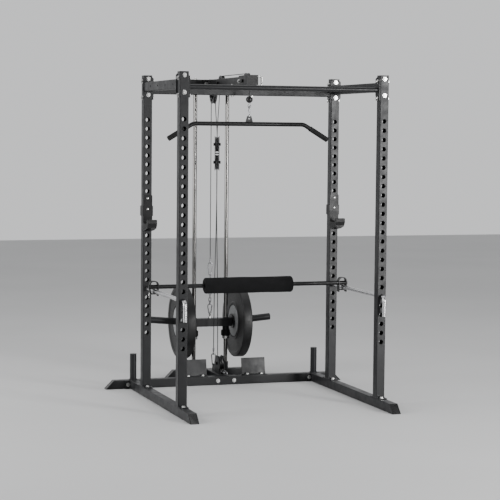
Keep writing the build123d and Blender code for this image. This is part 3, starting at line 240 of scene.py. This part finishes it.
def moulded_plastic(name, colour, roughness, grain=700.0):
    """Injection-moulded plastic with a fine spark-eroded grain."""
    made = Surface(name, roughness, specular=0.45)
    made.colour(made.ramp(made.noise(30.0, 5.0), ((0.3, shade(colour, 0.85)), (0.7, shade(colour, 1.25)))))
    made.rough(made.noise(90.0, 4.0), roughness - 0.06, roughness + 0.1)
    made.bump(made.cells(grain), 0.18, 0.0003)
    return made.material


def rubber(name, colour):
    made = Surface(name, 0.72, specular=0.3)
    made.colour(made.ramp(made.noise(40.0, 6.0), ((0.3, shade(colour, 0.8)), (0.72, shade(colour, 1.5)))))
    made.rough(made.noise(120.0, 4.0), 0.62, 0.85)
    made.bump(made.noise(900.0, 3.0), 0.25, 0.0004)
    return made.material


def closed_foam(name, colour):
    """Dense matt foam: pores under two millimetres across, with painted shade in them, and soft wear
    patches.
    """
    made = Surface(name, 0.95, specular=0.12)
    pores = made.cells(620.0)
    soft = made.ramp(made.noise(16.0, 6.0, 0.6), ((0.3, shade(colour, 0.75)), (0.7, shade(colour, 1.35))))
    # Pore centres darkened: painted shade in the pores.
    pore_shade = made.ramp(pores, ((0.05, shade(colour, 0.45)), (0.45, shade(colour, 1.2))))
    made.colour(made.mix(made.spread(made.noise(70.0), 0.25, 0.6), soft, pore_shade))
    made.bump(pores, 0.5, 0.0006)
    made.bump(made.noise(55.0, 4.0), 0.25, 0.0015)
    return made.material


def cast_paint(name, colour):
    """Painted cast iron: pebbled skin under a semi-gloss coat."""
    made = Surface(name, 0.45, specular=0.3)
    made.colour(made.ramp(made.noise(18.0, 6.0), ((0.3, shade(colour, 0.75)), (0.7, shade(colour, 1.35)))))
    made.rough(made.noise(60.0, 5.0), 0.34, 0.56)
    made.bump(made.noise(380.0, 4.0), 0.35, 0.0008)
    return made.material


def weld_metal(name, colour):
    made = Surface(name, 0.4, specular=0.5)
    made.colour(made.ramp(made.noise(150.0, 5.0), ((0.3, shade(colour, 0.7)), (0.7, shade(colour, 1.3)))))
    made.bump(made.noise(700.0, 3.0), 0.4, 0.0005)
    return made.material


CHARCOAL = (0.0105, 0.0108, 0.0120)
BLACK = (0.0050, 0.0050, 0.0055)
FRAME_PAINT = powder_coat("frame_paint", CHARCOAL, 0.40, 0.32)
BLACK_PAINT = powder_coat("black_paint", BLACK, 0.36, 0.24)
PLASTIC = moulded_plastic("black_plastic", (0.0065, 0.0065, 0.007), 0.42)
CAP_PLASTIC = moulded_plastic("cap_plastic", (0.0045, 0.0045, 0.0048), 0.26, 800.0)
PULLEY_PLASTIC = moulded_plastic("pulley_nylon", (0.008, 0.008, 0.0088), 0.36, 500.0)
LINER_PLASTIC = moulded_plastic("liner_uhmw", (0.0022, 0.0022, 0.0024), 0.55, 420.0)
CABLE_JACKET = moulded_plastic("cable_jacket", (0.008, 0.008, 0.0085), 0.3, 1500.0)
BALL_PLASTIC = moulded_plastic("ball_plastic", (0.007, 0.007, 0.0075), 0.26, 900.0)
ZINC = zinc_plate("zinc_steel")
WIRE = zinc_plate("zinc_wire", (0.33, 0.33, 0.34))
# The guide rods' chrome is tinted far darker than real chrome: painted shade standing in for the dark
# surroundings they reflect.
CHROME_UP_PAINTED_DARK = chrome_plate("chrome_rods_painted_dark", 2, (0.21, 0.205, 0.20), 0.13)
CHROME_ALONG = chrome_plate("chrome_safety_rods", 1, (0.60, 0.60, 0.61), 0.24)
RUBBER = rubber("black_rubber", (0.008, 0.008, 0.008))
FOAM = closed_foam("black_foam", (0.0095, 0.0095, 0.0100))
PLATE_RUBBER = moulded_plastic("plate_rubber", (0.0050, 0.0050, 0.0053), 0.46, 300.0)
PLATE_SILVER = cast_paint("plate_silver", (0.30, 0.305, 0.31))
WELD = weld_metal("painted_weld", CHARCOAL)
BLACK_WELD = weld_metal("painted_weld_black", BLACK)

NODE_MATERIALS = {
    "frame_paint": FRAME_PAINT,
    "black_paint": BLACK_PAINT,
    "black_plastic": PLASTIC,
    "zinc_steel": ZINC,
    "chrome": CHROME_UP_PAINTED_DARK,
    "rubber": RUBBER,
    "foam": FOAM,
}
SPECIAL_MATERIALS = {
    "safety_rod_left": CHROME_ALONG,
    "safety_rod_right": CHROME_ALONG,
    "cable_main": CABLE_JACKET,
    "cable_low": CABLE_JACKET,
    "lat_ball_stop": BALL_PLASTIC,
    "low_ball_stop": BALL_PLASTIC,
    "low_carabiners": WIRE,
    "lat_carabiner": WIRE,
    "lift_chain": WIRE,
    "cable_end_fitting": WIRE,
    "jhook_liner_left": LINER_PLASTIC,
    "jhook_liner_right": LINER_PLASTIC,
}


def dress_nodes():
    """Gives every CAD node the finish that its slot in the record names."""
    for row in frame["record"]["subparts"]:
        node, slot = row["node"], row["material_slot"]
        finish = SPECIAL_MATERIALS.get(node, NODE_MATERIALS[slot])
        if node.endswith("pulley"):
            finish = PULLEY_PLASTIC
        item = NODES[node]
        item.data.materials.clear()
        item.data.materials.append(finish)


dress_nodes()


# ---- mesh helpers ---------------------------------------------------------------------------
def add_piece(name, mesh, material, body):
    """A new visible piece that rides on a CAD body."""
    mesh.materials.append(material)
    piece = bpy.data.objects.new(name, mesh)
    bpy.context.collection.objects.link(piece)
    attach(piece, body)
    return piece


def smooth(mesh, angle=35):
    """Smooth shading with edges sharper than an angle kept crisp."""
    for face in mesh.polygons:
        face.use_smooth = True
    work = bmesh.new()
    work.from_mesh(mesh)
    for edge in work.edges:
        if len(edge.link_faces) == 2 and edge.calc_face_angle() > math.radians(angle):
            edge.smooth = False
    work.to_mesh(mesh)
    work.free()


def frame_of(axis):
    """Two directions square to an axis."""
    axis = Vector(axis).normalized()
    other = Vector((0, 0, 1)) if abs(axis.z) < 0.9 else Vector((1, 0, 0))
    across = other.cross(axis).normalized()
    return axis, across, axis.cross(across)


def lathe(name, profile, centre, axis, segments=96):
    """A closed ring made by turning (distance along the axis, radius) points."""
    axis, across, over = frame_of(axis)
    work = bmesh.new()
    rings = []
    for step in range(segments):
        turn = 2 * math.pi * step / segments
        outward = across * math.cos(turn) + over * math.sin(turn)
        rings.append([work.verts.new(Vector(centre) + axis * along + outward * radius)
                      for along, radius in profile])
    count = len(profile)
    for step in range(segments):
        here, there = rings[step], rings[(step + 1) % segments]
        for spot in range(count):
            after = (spot + 1) % count
            work.faces.new((here[spot], there[spot], there[after], here[after]))
    bmesh.ops.recalc_face_normals(work, faces=work.faces)
    mesh = bpy.data.meshes.new(name)
    work.to_mesh(mesh)
    work.free()
    smooth(mesh)
    return mesh


def rounded(points, radius, steps=4):
    """The outline of a closed polygon with its corners rounded; a radius per point or one for all."""
    count = len(points)
    out = []
    for spot, point in enumerate(points):
        here = Vector(point)
        before = Vector(points[spot - 1]) - here
        after = Vector(points[(spot + 1) % count]) - here
        size = radius[spot] if isinstance(radius, (list, tuple)) else radius
        if size <= 0:
            out.append(tuple(here))
            continue
        half = before.angle(after) / 2
        cut = min(size / math.tan(half), before.length * 0.45, after.length * 0.45)
        start, end = here + before.normalized() * cut, here + after.normalized() * cut
        for step in range(steps + 1):
            t = step / steps
            out.append(tuple(start * (1 - t) ** 2 + here * 2 * t * (1 - t) + end * t ** 2))
    return out


def tube_mesh(name, points, radius, sides=16, closed=False, radii=None):
    """A round tube along points; radii gives a radius of its own to each point."""
    work = bmesh.new()
    count = len(points)
    rings = []
    across = None
    for spot in range(count):
        before = points[spot - 1] if closed or spot else points[spot]
        after = points[(spot + 1) % count] if closed or spot < count - 1 else points[spot]
        along = (Vector(after) - Vector(before)).normalized()
        if across is None:
            across = frame_of(along)[1]
        across = (across - along * across.dot(along)).normalized()
        over = along.cross(across)
        size = radii[spot] if radii else radius
        ring = []
        for side in range(sides):
            turn = 2 * math.pi * side / sides
            outward = across * math.cos(turn) + over * math.sin(turn)
            ring.append(work.verts.new(Vector(points[spot]) + outward * size))
        rings.append(ring)
    for spot in range(count if closed else count - 1):
        here, there = rings[spot], rings[(spot + 1) % count]
        for side in range(sides):
            after = (side + 1) % sides
            work.faces.new((here[side], here[after], there[after], there[side]))
    if not closed:
        work.faces.new(rings[0][::-1])
        work.faces.new(rings[-1])
    bmesh.ops.recalc_face_normals(work, faces=work.faces)
    mesh = bpy.data.meshes.new(name)
    work.to_mesh(mesh)
    work.free()
    smooth(mesh, 50)
    return mesh


def joined(name, meshes):
    """Several meshes as one."""
    work = bmesh.new()
    for mesh in meshes:
        work.from_mesh(mesh)
        bpy.data.meshes.remove(mesh)
    merged = bpy.data.meshes.new(name)
    work.to_mesh(merged)
    work.free()
    return merged


# ---- foam roller ------------------------------------------------------------------------------
def make_foam_roller():
    """A soft sleeve: rounded ends, a body with slow shallow waves, and its bore."""
    low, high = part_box("foam_roller")
    middle = (low + high) / 2
    length = high.x - low.x
    start = -length / 2
    outer = (high.z - low.z) / 2
    bore = FOAM_BORE_R
    edge = 0.009
    edge_steps = 8
    stations = 72
    wave_height = 0.0005
    profile = [(start + 0.004, bore), (start + 0.001, bore + 0.003), (start, bore + 0.010)]
    for step in range(edge_steps + 1):
        turn = math.pi / 2 * step / edge_steps
        profile.append((start + edge * (1 - math.cos(turn)), outer - edge * (1 - math.sin(turn))))
    for step in range(1, stations):
        along = start + edge + (length - 2 * edge) * step / stations
        profile.append((along, outer))
    for spot in range(len(profile) - stations, -1, -1):
        profile.append((-profile[spot][0], profile[spot][1]))
    mesh = lathe("foam_sleeve", profile, middle, (1, 0, 0), 96)
    for vertex in mesh.vertices:
        offset = vertex.co - middle
        radius = math.hypot(offset.y, offset.z)
        depth = max(0.0, (radius - bore) / (outer - bore))
        turn = math.atan2(offset.z, offset.y)
        wave = math.sin(offset.x * 21 + 2 * turn) + 0.6 * math.sin(offset.x * 47 - 3 * turn + 1.3)
        dent = wave_height * depth * (wave - 1.4)
        vertex.co.y += offset.y / radius * dent
        vertex.co.z += offset.z / radius * dent
    piece = add_piece("foam_roller_sleeve", mesh, FOAM, "foam_body")
    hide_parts("foam_roller")


make_foam_roller()


# ---- cable strands: they change length on the machine, but are drawn straight at one length ---
def make_strand(node):
    """A straight cable that stretches between the cage's pulley and the piece it pulls."""
    low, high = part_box(node)
    middle = (low + high) / 2
    rows = 24
    points = [(middle.x, middle.y, low.z + (high.z - low.z) * row / rows) for row in range(rows + 1)]
    mesh = tube_mesh(node, points, (high.x - low.x) / 2, 16)
    mesh.materials.append(CABLE_JACKET)
    piece = bpy.data.objects.new(f"{node}_cable", mesh)
    bpy.context.collection.objects.link(piece)
    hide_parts(node)
    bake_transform(piece)


make_strand("cable_lat_strand")
make_strand("cable_carriage_strand")


# ---- weight plates -----------------------------------------------------------------------------
def make_plate(side_name):
    """A bumper plate: a moulding with a rounded rim and shallow dish, a steel sleeve and two hub discs."""
    node = f"weight_plate_{side_name}"
    rides = f"plate_{side_name}_body"
    low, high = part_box(node)
    middle = (low + high) / 2
    half = (high.x - low.x) / 2
    outer = (high.z - low.z) / 2
    bore = PLATE_BORE_R
    hub = 0.101
    seat, groove, dish = 0.0012, 0.0055, 0.0042

    def face_outline(face):
        """One face from the bore to the rim: hub seat, groove, flat, shallow dish and rounded edge."""
        def at(depth, radius):
            return face * (half - depth), radius
        return [
            at(seat, bore + 0.004),
            at(seat, hub - 0.004),
            at(groove, hub - 0.003),
            at(groove, hub + 0.002),
            at(0, hub + 0.004),
            at(0, hub + 0.014),
            at(dish, hub + 0.020),
            at(dish, outer - 0.032),
            at(0, outer - 0.026),
            at(0, outer),
        ]

    roundings = [0.001, 0.0008, 0.0008, 0.001, 0.002, 0.002, 0.003, 0.003, 0.002, 0.008]
    outline = face_outline(-1) + face_outline(1)[::-1]
    body = lathe(node, rounded(outline, roundings + roundings[::-1]), middle, (1, 0, 0), 128)
    piece = add_piece(f"plate_{side_name}_moulding", body, PLATE_RUBBER, rides)
    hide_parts(node)

    sunk = half - 0.002
    proud = half + 0.0004
    wall = bore + 0.0055
    sleeve = [(-proud, bore), (-proud, wall), (-sunk, wall), (sunk, wall), (proud, wall), (proud, bore)]
    ring = lathe(f"{node}_sleeve", sleeve, middle, (1, 0, 0), 96)
    add_piece(f"plate_{side_name}_sleeve", ring, ZINC, rides)

    meshes = []
    for face in (-1, 1):
        top = face * (half + 0.0005)
        crest = top + face * 0.0007
        disc = [(face * sunk, 0.035), (top, 0.036)]
        for ridge in (0.046, 0.083):
            disc += [(top, ridge), (crest, ridge + 0.0008), (crest, ridge + 0.0026), (top, ridge + 0.0034)]
        disc += [(top, hub - 0.0058), (face * sunk, hub - 0.0045)]
        meshes.append(lathe("disc", disc, middle, (1, 0, 0), 128))
    discs = joined(f"{node}_discs", meshes)
    add_piece(f"plate_{side_name}_hub_discs", discs, PLATE_SILVER, rides)


for side_name in ("left", "right"):
    make_plate(side_name)


# ---- lat bar grips ---------------------------------------------------------------------------
def make_lat_grips():
    """Moulded rubber grips with raised rings and a domed end."""
    low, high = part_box("lat_bar")
    y = (low.y + high.y) / 2
    lean = math.atan2(LAT_END_DROP, LAT_END_RUN)
    ridges, ridge_pitch, first_ridge = 24, 0.0044, -0.112
    valley, crest = 0.0145, 0.0152
    cuff = [(-0.125, 0.0127), (-0.125, crest), (-0.1225, 0.0156), (-0.117, 0.0156), (-0.1155, 0.0148)]
    grip = []
    for step in range(ridges):
        start = first_ridge + step * ridge_pitch
        grip += [(start, valley), (start + 0.0008, crest), (start + 0.0026, crest), (start + 0.0034, valley)]
    dome = [(-0.004, 0.0150), (-0.002, 0.0154), (0.0008, 0.0148), (0.0024, 0.0125), (0.0029, 0.008),
            (0.0030, 0.0005), (0.0005, 0.0005), (0.0003, 0.0127)]
    meshes = []
    for side in (-1, 1):
        outward = Vector((side * math.cos(lean), 0, -math.sin(lean)))
        end = Vector((side * LAT_END_X, y, LAT_END_Z))
        meshes.append(lathe("grip", cuff + grip + dome, end, outward, 48))
    piece = add_piece("lat_bar_grips_moulded", joined("grips", meshes), RUBBER, "lat_pulldown_bar")
    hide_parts("lat_bar_grips")


make_lat_grips()


# ---- moulded caps --------------------------------------------------------------------------------
def stacked(name, loops):
    """A closed skin through loops of points, with a face over the first and the last."""
    work = bmesh.new()
    rings = [[work.verts.new(point) for point in loop] for loop in loops]
    for here, there in zip(rings, rings[1:]):
        for spot in range(len(here)):
            after = (spot + 1) % len(here)
            work.faces.new((here[spot], here[after], there[after], there[spot]))
    work.faces.new(rings[0][::-1])
    work.faces.new(rings[-1])
    bmesh.ops.recalc_face_normals(work, faces=work.faces)
    mesh = bpy.data.meshes.new(name)
    work.to_mesh(mesh)
    work.free()
    smooth(mesh, 25)
    return mesh


def cap_loops(across, over, rise, base, width, height, levels):
    """Rounded rectangles in the plane of across and over: levels are (lift along rise, inset)."""
    loops = []
    for lift, inset in levels:
        half_w, half_h = width / 2 - inset, height / 2 - inset
        corners = [(half_w, half_h), (-half_w, half_h), (-half_w, -half_h), (half_w, -half_h)]
        outline = rounded(corners, max(0.0015, CORNER - inset * 0.5), 5)
        loops.append([base + rise * lift + across * one + over * other for one, other in outline])
    return loops


def make_end_caps():
    """Slanted plugs of the open floor tubes: a rounded rim around a sunk field."""
    low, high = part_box("base_end_caps")
    _, cross_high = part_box("rear_crossmember")
    _, foot_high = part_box("tower_base")
    cross_y = cross_high.y - HALF
    foot_y = foot_high.y - HALF
    slant = TUBE * math.sqrt(2)
    ends = []
    for side in (-1, 1):
        sideways = Vector((side, 0, 0))
        base_end = Vector((side * UPRIGHT_X, low.y + END_CAP_T, 0))
        cross_end = Vector((side * (high.x - END_CAP_T), cross_y, 0))
        foot_end = Vector((side * foot_high.x, foot_y, 0))
        ends.append((base_end, Vector((0, -1, 0)), Vector((1, 0, 0))))
        ends.append((cross_end, sideways, Vector((0, 1, 0))))
        ends.append((foot_end, sideways, Vector((0, 1, 0))))
    levels = ((0, 0), (0.0022, 0), (0.0034, 0.0006), (0.0040, 0.0018), (0.0040, 0.0062), (0.0031, 0.0074))
    meshes = []
    for foot, outward, across in ends:
        over = (Vector((0, 0, 1)) - outward).normalized()
        middle = foot + over * (slant / 2)
        meshes.append(stacked("cap", cap_loops(across, over, outward, middle, TUBE, slant, levels)))
    caps = joined("end_caps", meshes)
    piece = add_piece("base_end_caps_moulded", caps, CAP_PLASTIC, "cage")
    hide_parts("base_end_caps")


def make_upright_caps():
    """Pillow-edged caps on the four uprights."""
    _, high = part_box("upright_caps")
    levels = ((0, 0), (0.0016, 0), (0.0025, 0.0005), (0.0030, 0.0016), (0.0030, 0.0070), (0.0024, 0.0082))
    across, over, rise = Vector((1, 0, 0)), Vector((0, 1, 0)), Vector((0, 0, 1))
    meshes = []
    for x in (-UPRIGHT_X, UPRIGHT_X):
        for y in (-UPRIGHT_Y, UPRIGHT_Y):
            middle = Vector((x, y, high.z - UPRIGHT_CAP_T))
            meshes.append(stacked("cap", cap_loops(across, over, rise, middle, TUBE, TUBE, levels)))
    piece = add_piece("upright_caps_moulded", joined("caps", meshes), CAP_PLASTIC, "cage")
    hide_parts("upright_caps")


make_end_caps()
make_upright_caps()


# ---- fasteners and bearings ---------------------------------------------------------------------
def make_rivets():
    """Zinc domes over the rivet and the pin end on each J-hook."""
    dome = [(0, 0.0068), (0.0008, 0.0068), (0.0018, 0.0062), (0.0027, 0.0048), (0.0032, 0.0028),
            (0.0034, 0.0002), (0, 0.0002)]
    plate_and_gap = 0.0061
    face_y = UPRIGHT_Y - HALF - plate_and_gap
    for side_name, side in (("left", -1), ("right", 1)):
        body = f"hook_{side_name}_body"
        domes = []
        for z in HOOK_RIVET_HEIGHTS:
            domes.append(lathe("dome", dome, (side * UPRIGHT_X, face_y, z), (0, -1, 0), 32))
        add_piece(f"jhook_{side_name}_rivets", joined("rivets", domes), ZINC, body)


def make_bearings():
    """Shielded bearing faces on both sides of each pulley hub."""
    across = (1, 0, 0)
    leaning = (math.cos(BLOCK_TWIST), math.sin(BLOCK_TWIST), 0)
    places = (
        ("boom_front_pulley", "front_pulley_body", across),
        ("boom_rear_pulley", "rear_pulley_body", across),
        ("hanging_pulley", "hanging_pulley_body", across),
        ("low_pulley", "low_pulley_body", across),
        ("block_upper_pulley", "block_upper_body", leaning),
        ("block_lower_pulley", "block_lower_body", leaning),
    )
    for node, body, axis in places:
        low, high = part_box(node)
        faces = []
        for face in (-1, 1):
            hub = face * PULLEY_HALF
            sunk = hub - face * 0.002
            lip = hub + face * 0.0002
            race = hub + face * 0.0004
            shield = hub + face * 0.0001
            ring = [(sunk, 0.0098), (lip, 0.0098), (race, 0.0104), (race, 0.0112), (shield, 0.0114),
                    (shield, 0.0122), (race, 0.0124), (race, 0.0134), (sunk, 0.0136)]
            faces.append(lathe("race", ring, (low + high) / 2, axis, 48))
        add_piece(f"{node}_bearing", joined("bearing", faces), ZINC, body)


def make_hitch_pins():
    """A pin head and a hanging wire clip on each roller fork's keeper pin."""
    low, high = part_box("roller_bar")
    y = (low.y + high.y) / 2
    head = [(0, 0.0035), (0, 0.0072), (0.0006, 0.0080), (0.0024, 0.0080), (0.0034, 0.0070),
            (0.0040, 0.0040), (0.0041, 0.0002), (-0.0004, 0.0002), (-0.0004, 0.0035)]
    clip_steps = 28
    clip_wire_r = 0.0011
    meshes = []
    for side in (-1, 1):
        outer_x = side * (UPRIGHT_X + KEEPER_END)
        meshes.append(lathe("head", head, (outer_x, y, KEEPER_Z), (side, 0, 0), 32))
        clip = []
        for step in range(clip_steps):
            turn = 2 * math.pi * step / clip_steps
            drop = 0.013 * (1 - math.cos(turn))
            clip_x = outer_x + side * (0.0032 + 0.0012 * math.sin(turn))
            clip_y = y + 0.0085 * math.sin(turn) * (0.7 + 0.3 * math.cos(turn))
            clip.append((clip_x, clip_y, KEEPER_Z + 0.0052 - drop))
        meshes.append(tube_mesh("clip", clip, clip_wire_r, 10, True))
    add_piece("roller_hitch_pins", joined("hitch_pins", meshes), ZINC, "roller_body")


make_rivets()
make_bearings()
make_hitch_pins()


# ---- welds -------------------------------------------------------------------------------------
def weld_bead(points, radius=0.0022, spacing=0.0045):
    """A rippled bead along a closed chain of points."""
    path, radii = [], []
    travelled = 0.0
    count = len(points)
    for spot in range(count):
        start, end = Vector(points[spot]), Vector(points[(spot + 1) % count])
        length = (end - start).length
        steps = max(2, round(length / (spacing / 2)))
        for step in range(steps):
            path.append(start.lerp(end, step / steps))
            travelled += length / steps
            radii.append(radius * (1 + 0.16 * math.sin(2 * math.pi * travelled / spacing)
                                   + random.uniform(-0.06, 0.06)))
    return tube_mesh("bead", path, radius, 8, True, radii)


def square_ring(centre, normal, width, height):
    """The four corners of a rectangle square to an axis-aligned normal, with cut corners."""
    _, across, over = frame_of(normal)
    cut = CORNER * 0.6
    out = []
    for a, b in ((1, 1), (-1, 1), (-1, -1), (1, -1)):
        corner_a, corner_b = a * width / 2, b * height / 2
        first = (corner_a, corner_b - b * cut) if a * b > 0 else (corner_a - a * cut, corner_b)
        second = (corner_a - a * cut, corner_b) if a * b > 0 else (corner_a, corner_b - b * cut)
        for one, other in (first, second):
            out.append(Vector(centre) + across * one + over * other)
    return out


def make_welds():
    """Beads where tubes meet their plates: upright feet, beam flanges and the floor frame."""
    grey, black = [], []
    low_tube = TUBE - 2 * LIFT
    for x in (-UPRIGHT_X, UPRIGHT_X):
        for y in (-UPRIGHT_Y, UPRIGHT_Y):
            grey.append(weld_bead(square_ring((x, y, FOOT_WELD_Z), (0, 0, 1), TUBE, TUBE)))
        beam_low, beam_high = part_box("side_beam_left")
        for y in (beam_low.y + WELD_SETBACK, beam_high.y - WELD_SETBACK):
            grey.append(weld_bead(square_ring((x, y, SIDE_BEAM_Z), (0, 1, 0), TUBE, TUBE)))
        _, base_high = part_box("base_tube_left")
        base_end = (x, base_high.y - WELD_SETBACK, HALF + LIFT)
        grey.append(weld_bead(square_ring(base_end, (0, 1, 0), TUBE, low_tube)))
    for side in (-1, 1):
        _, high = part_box("rear_top_beam")
        flange = side * (high.x - WELD_SETBACK)
        beam_end = (flange, UPRIGHT_Y, CROSS_BEAM_Z)
        grey.append(weld_bead(square_ring(beam_end, (1, 0, 0), TUBE * 0.98, TUBE)))
        circle = []
        for step in range(24):
            turn = step * math.pi / 12
            bar_y = -UPRIGHT_Y + BAR_WELD_R * math.cos(turn)
            circle.append((flange, bar_y, CROSS_BEAM_Z + BAR_WELD_R * math.sin(turn)))
        grey.append(weld_bead(circle))
    tower_low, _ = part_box("tower_base")
    tower_end = (0, tower_low.y + WELD_SETBACK, HALF + LIFT)
    grey.append(weld_bead(square_ring(tower_end, (0, 1, 0), TUBE, low_tube)))
    _, boom_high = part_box("boom")
    boom_end = (0, boom_high.y - WELD_SETBACK, BOOM_Z)
    black.append(weld_bead(square_ring(boom_end, (0, 1, 0), TUBE, TUBE)))
    add_piece("frame_welds", joined("frame_welds", grey), WELD, "cage")
    add_piece("boom_welds", joined("boom_welds", black), BLACK_WELD, "cage")


make_welds()


# ---- floor and light -----------------------------------------------------------------------------
def soft_light(name, place, target, size, power):
    """A rectangular area light turned towards a point."""
    data = bpy.data.lights.new(name, "AREA")
    data.shape = "RECTANGLE"
    data.size, data.size_y = size
    data.energy = power
    light = bpy.data.objects.new(name, data)
    bpy.context.collection.objects.link(light)
    light.location = place
    light.rotation_mode = "QUATERNION"
    light.rotation_quaternion = (Vector(target) - Vector(place)).to_track_quat("-Z", "Y")


def make_stage():
    """A plain pale floor, a grey-to-pale surrounding, and soft key, fill and top lights."""
    work = bmesh.new()
    reach, floor_z = 14, -0.0005
    corners = [(-reach, -reach, floor_z), (reach, -reach, floor_z), (reach, reach, floor_z),
               (-reach, reach, floor_z)]
    work.faces.new([work.verts.new(corner) for corner in corners])
    mesh = bpy.data.meshes.new("floor")
    work.to_mesh(mesh)
    work.free()
    made = Surface("floor_paint", 0.7, specular=0.3)
    made.colour(made.ramp(made.noise(0.6, 3.0), ((0.3, (0.62, 0.62, 0.62)), (0.7, (0.66, 0.66, 0.66)))))
    mesh.materials.append(made.material)
    floor = bpy.data.objects.new("floor", mesh)
    bpy.context.collection.objects.link(floor)

    world = bpy.data.worlds.new("studio")
    bpy.context.scene.world = world
    world.use_nodes = True
    nodes, links = world.node_tree.nodes, world.node_tree.links
    place = nodes.new("ShaderNodeTexCoord").outputs["Generated"]
    parts = nodes.new("ShaderNodeSeparateXYZ")
    links.new(place, parts.inputs["Vector"])
    span = nodes.new("ShaderNodeMapRange")
    span.inputs["From Min"].default_value = -0.6
    span.inputs["From Max"].default_value = 0.5
    links.new(parts.outputs["Y"], span.inputs["Value"])
    fade = nodes.new("ShaderNodeValToRGB")
    fade.color_ramp.elements[0].color = (0.20, 0.205, 0.21, 1)
    fade.color_ramp.elements[1].color = (0.80, 0.805, 0.815, 1)
    links.new(span.outputs["Result"], fade.inputs["Fac"])
    back = nodes["Background"]
    links.new(fade.outputs["Color"], back.inputs["Color"])
    back.inputs["Strength"].default_value = 1.0

    soft_light("key", (3.0, -5.1, 1.7), (0.6, 0, 1.2), (1.2, 3.0), 320)
    soft_light("fill", (-5.5, -0.6, 2.2), (-0.5, 0.2, 0.9), (2.6, 3.0), 190)
    soft_light("top", (0, 0.4, 5.2), (0, 0.2, 0), (4.0, 4.0), 70)


make_stage()
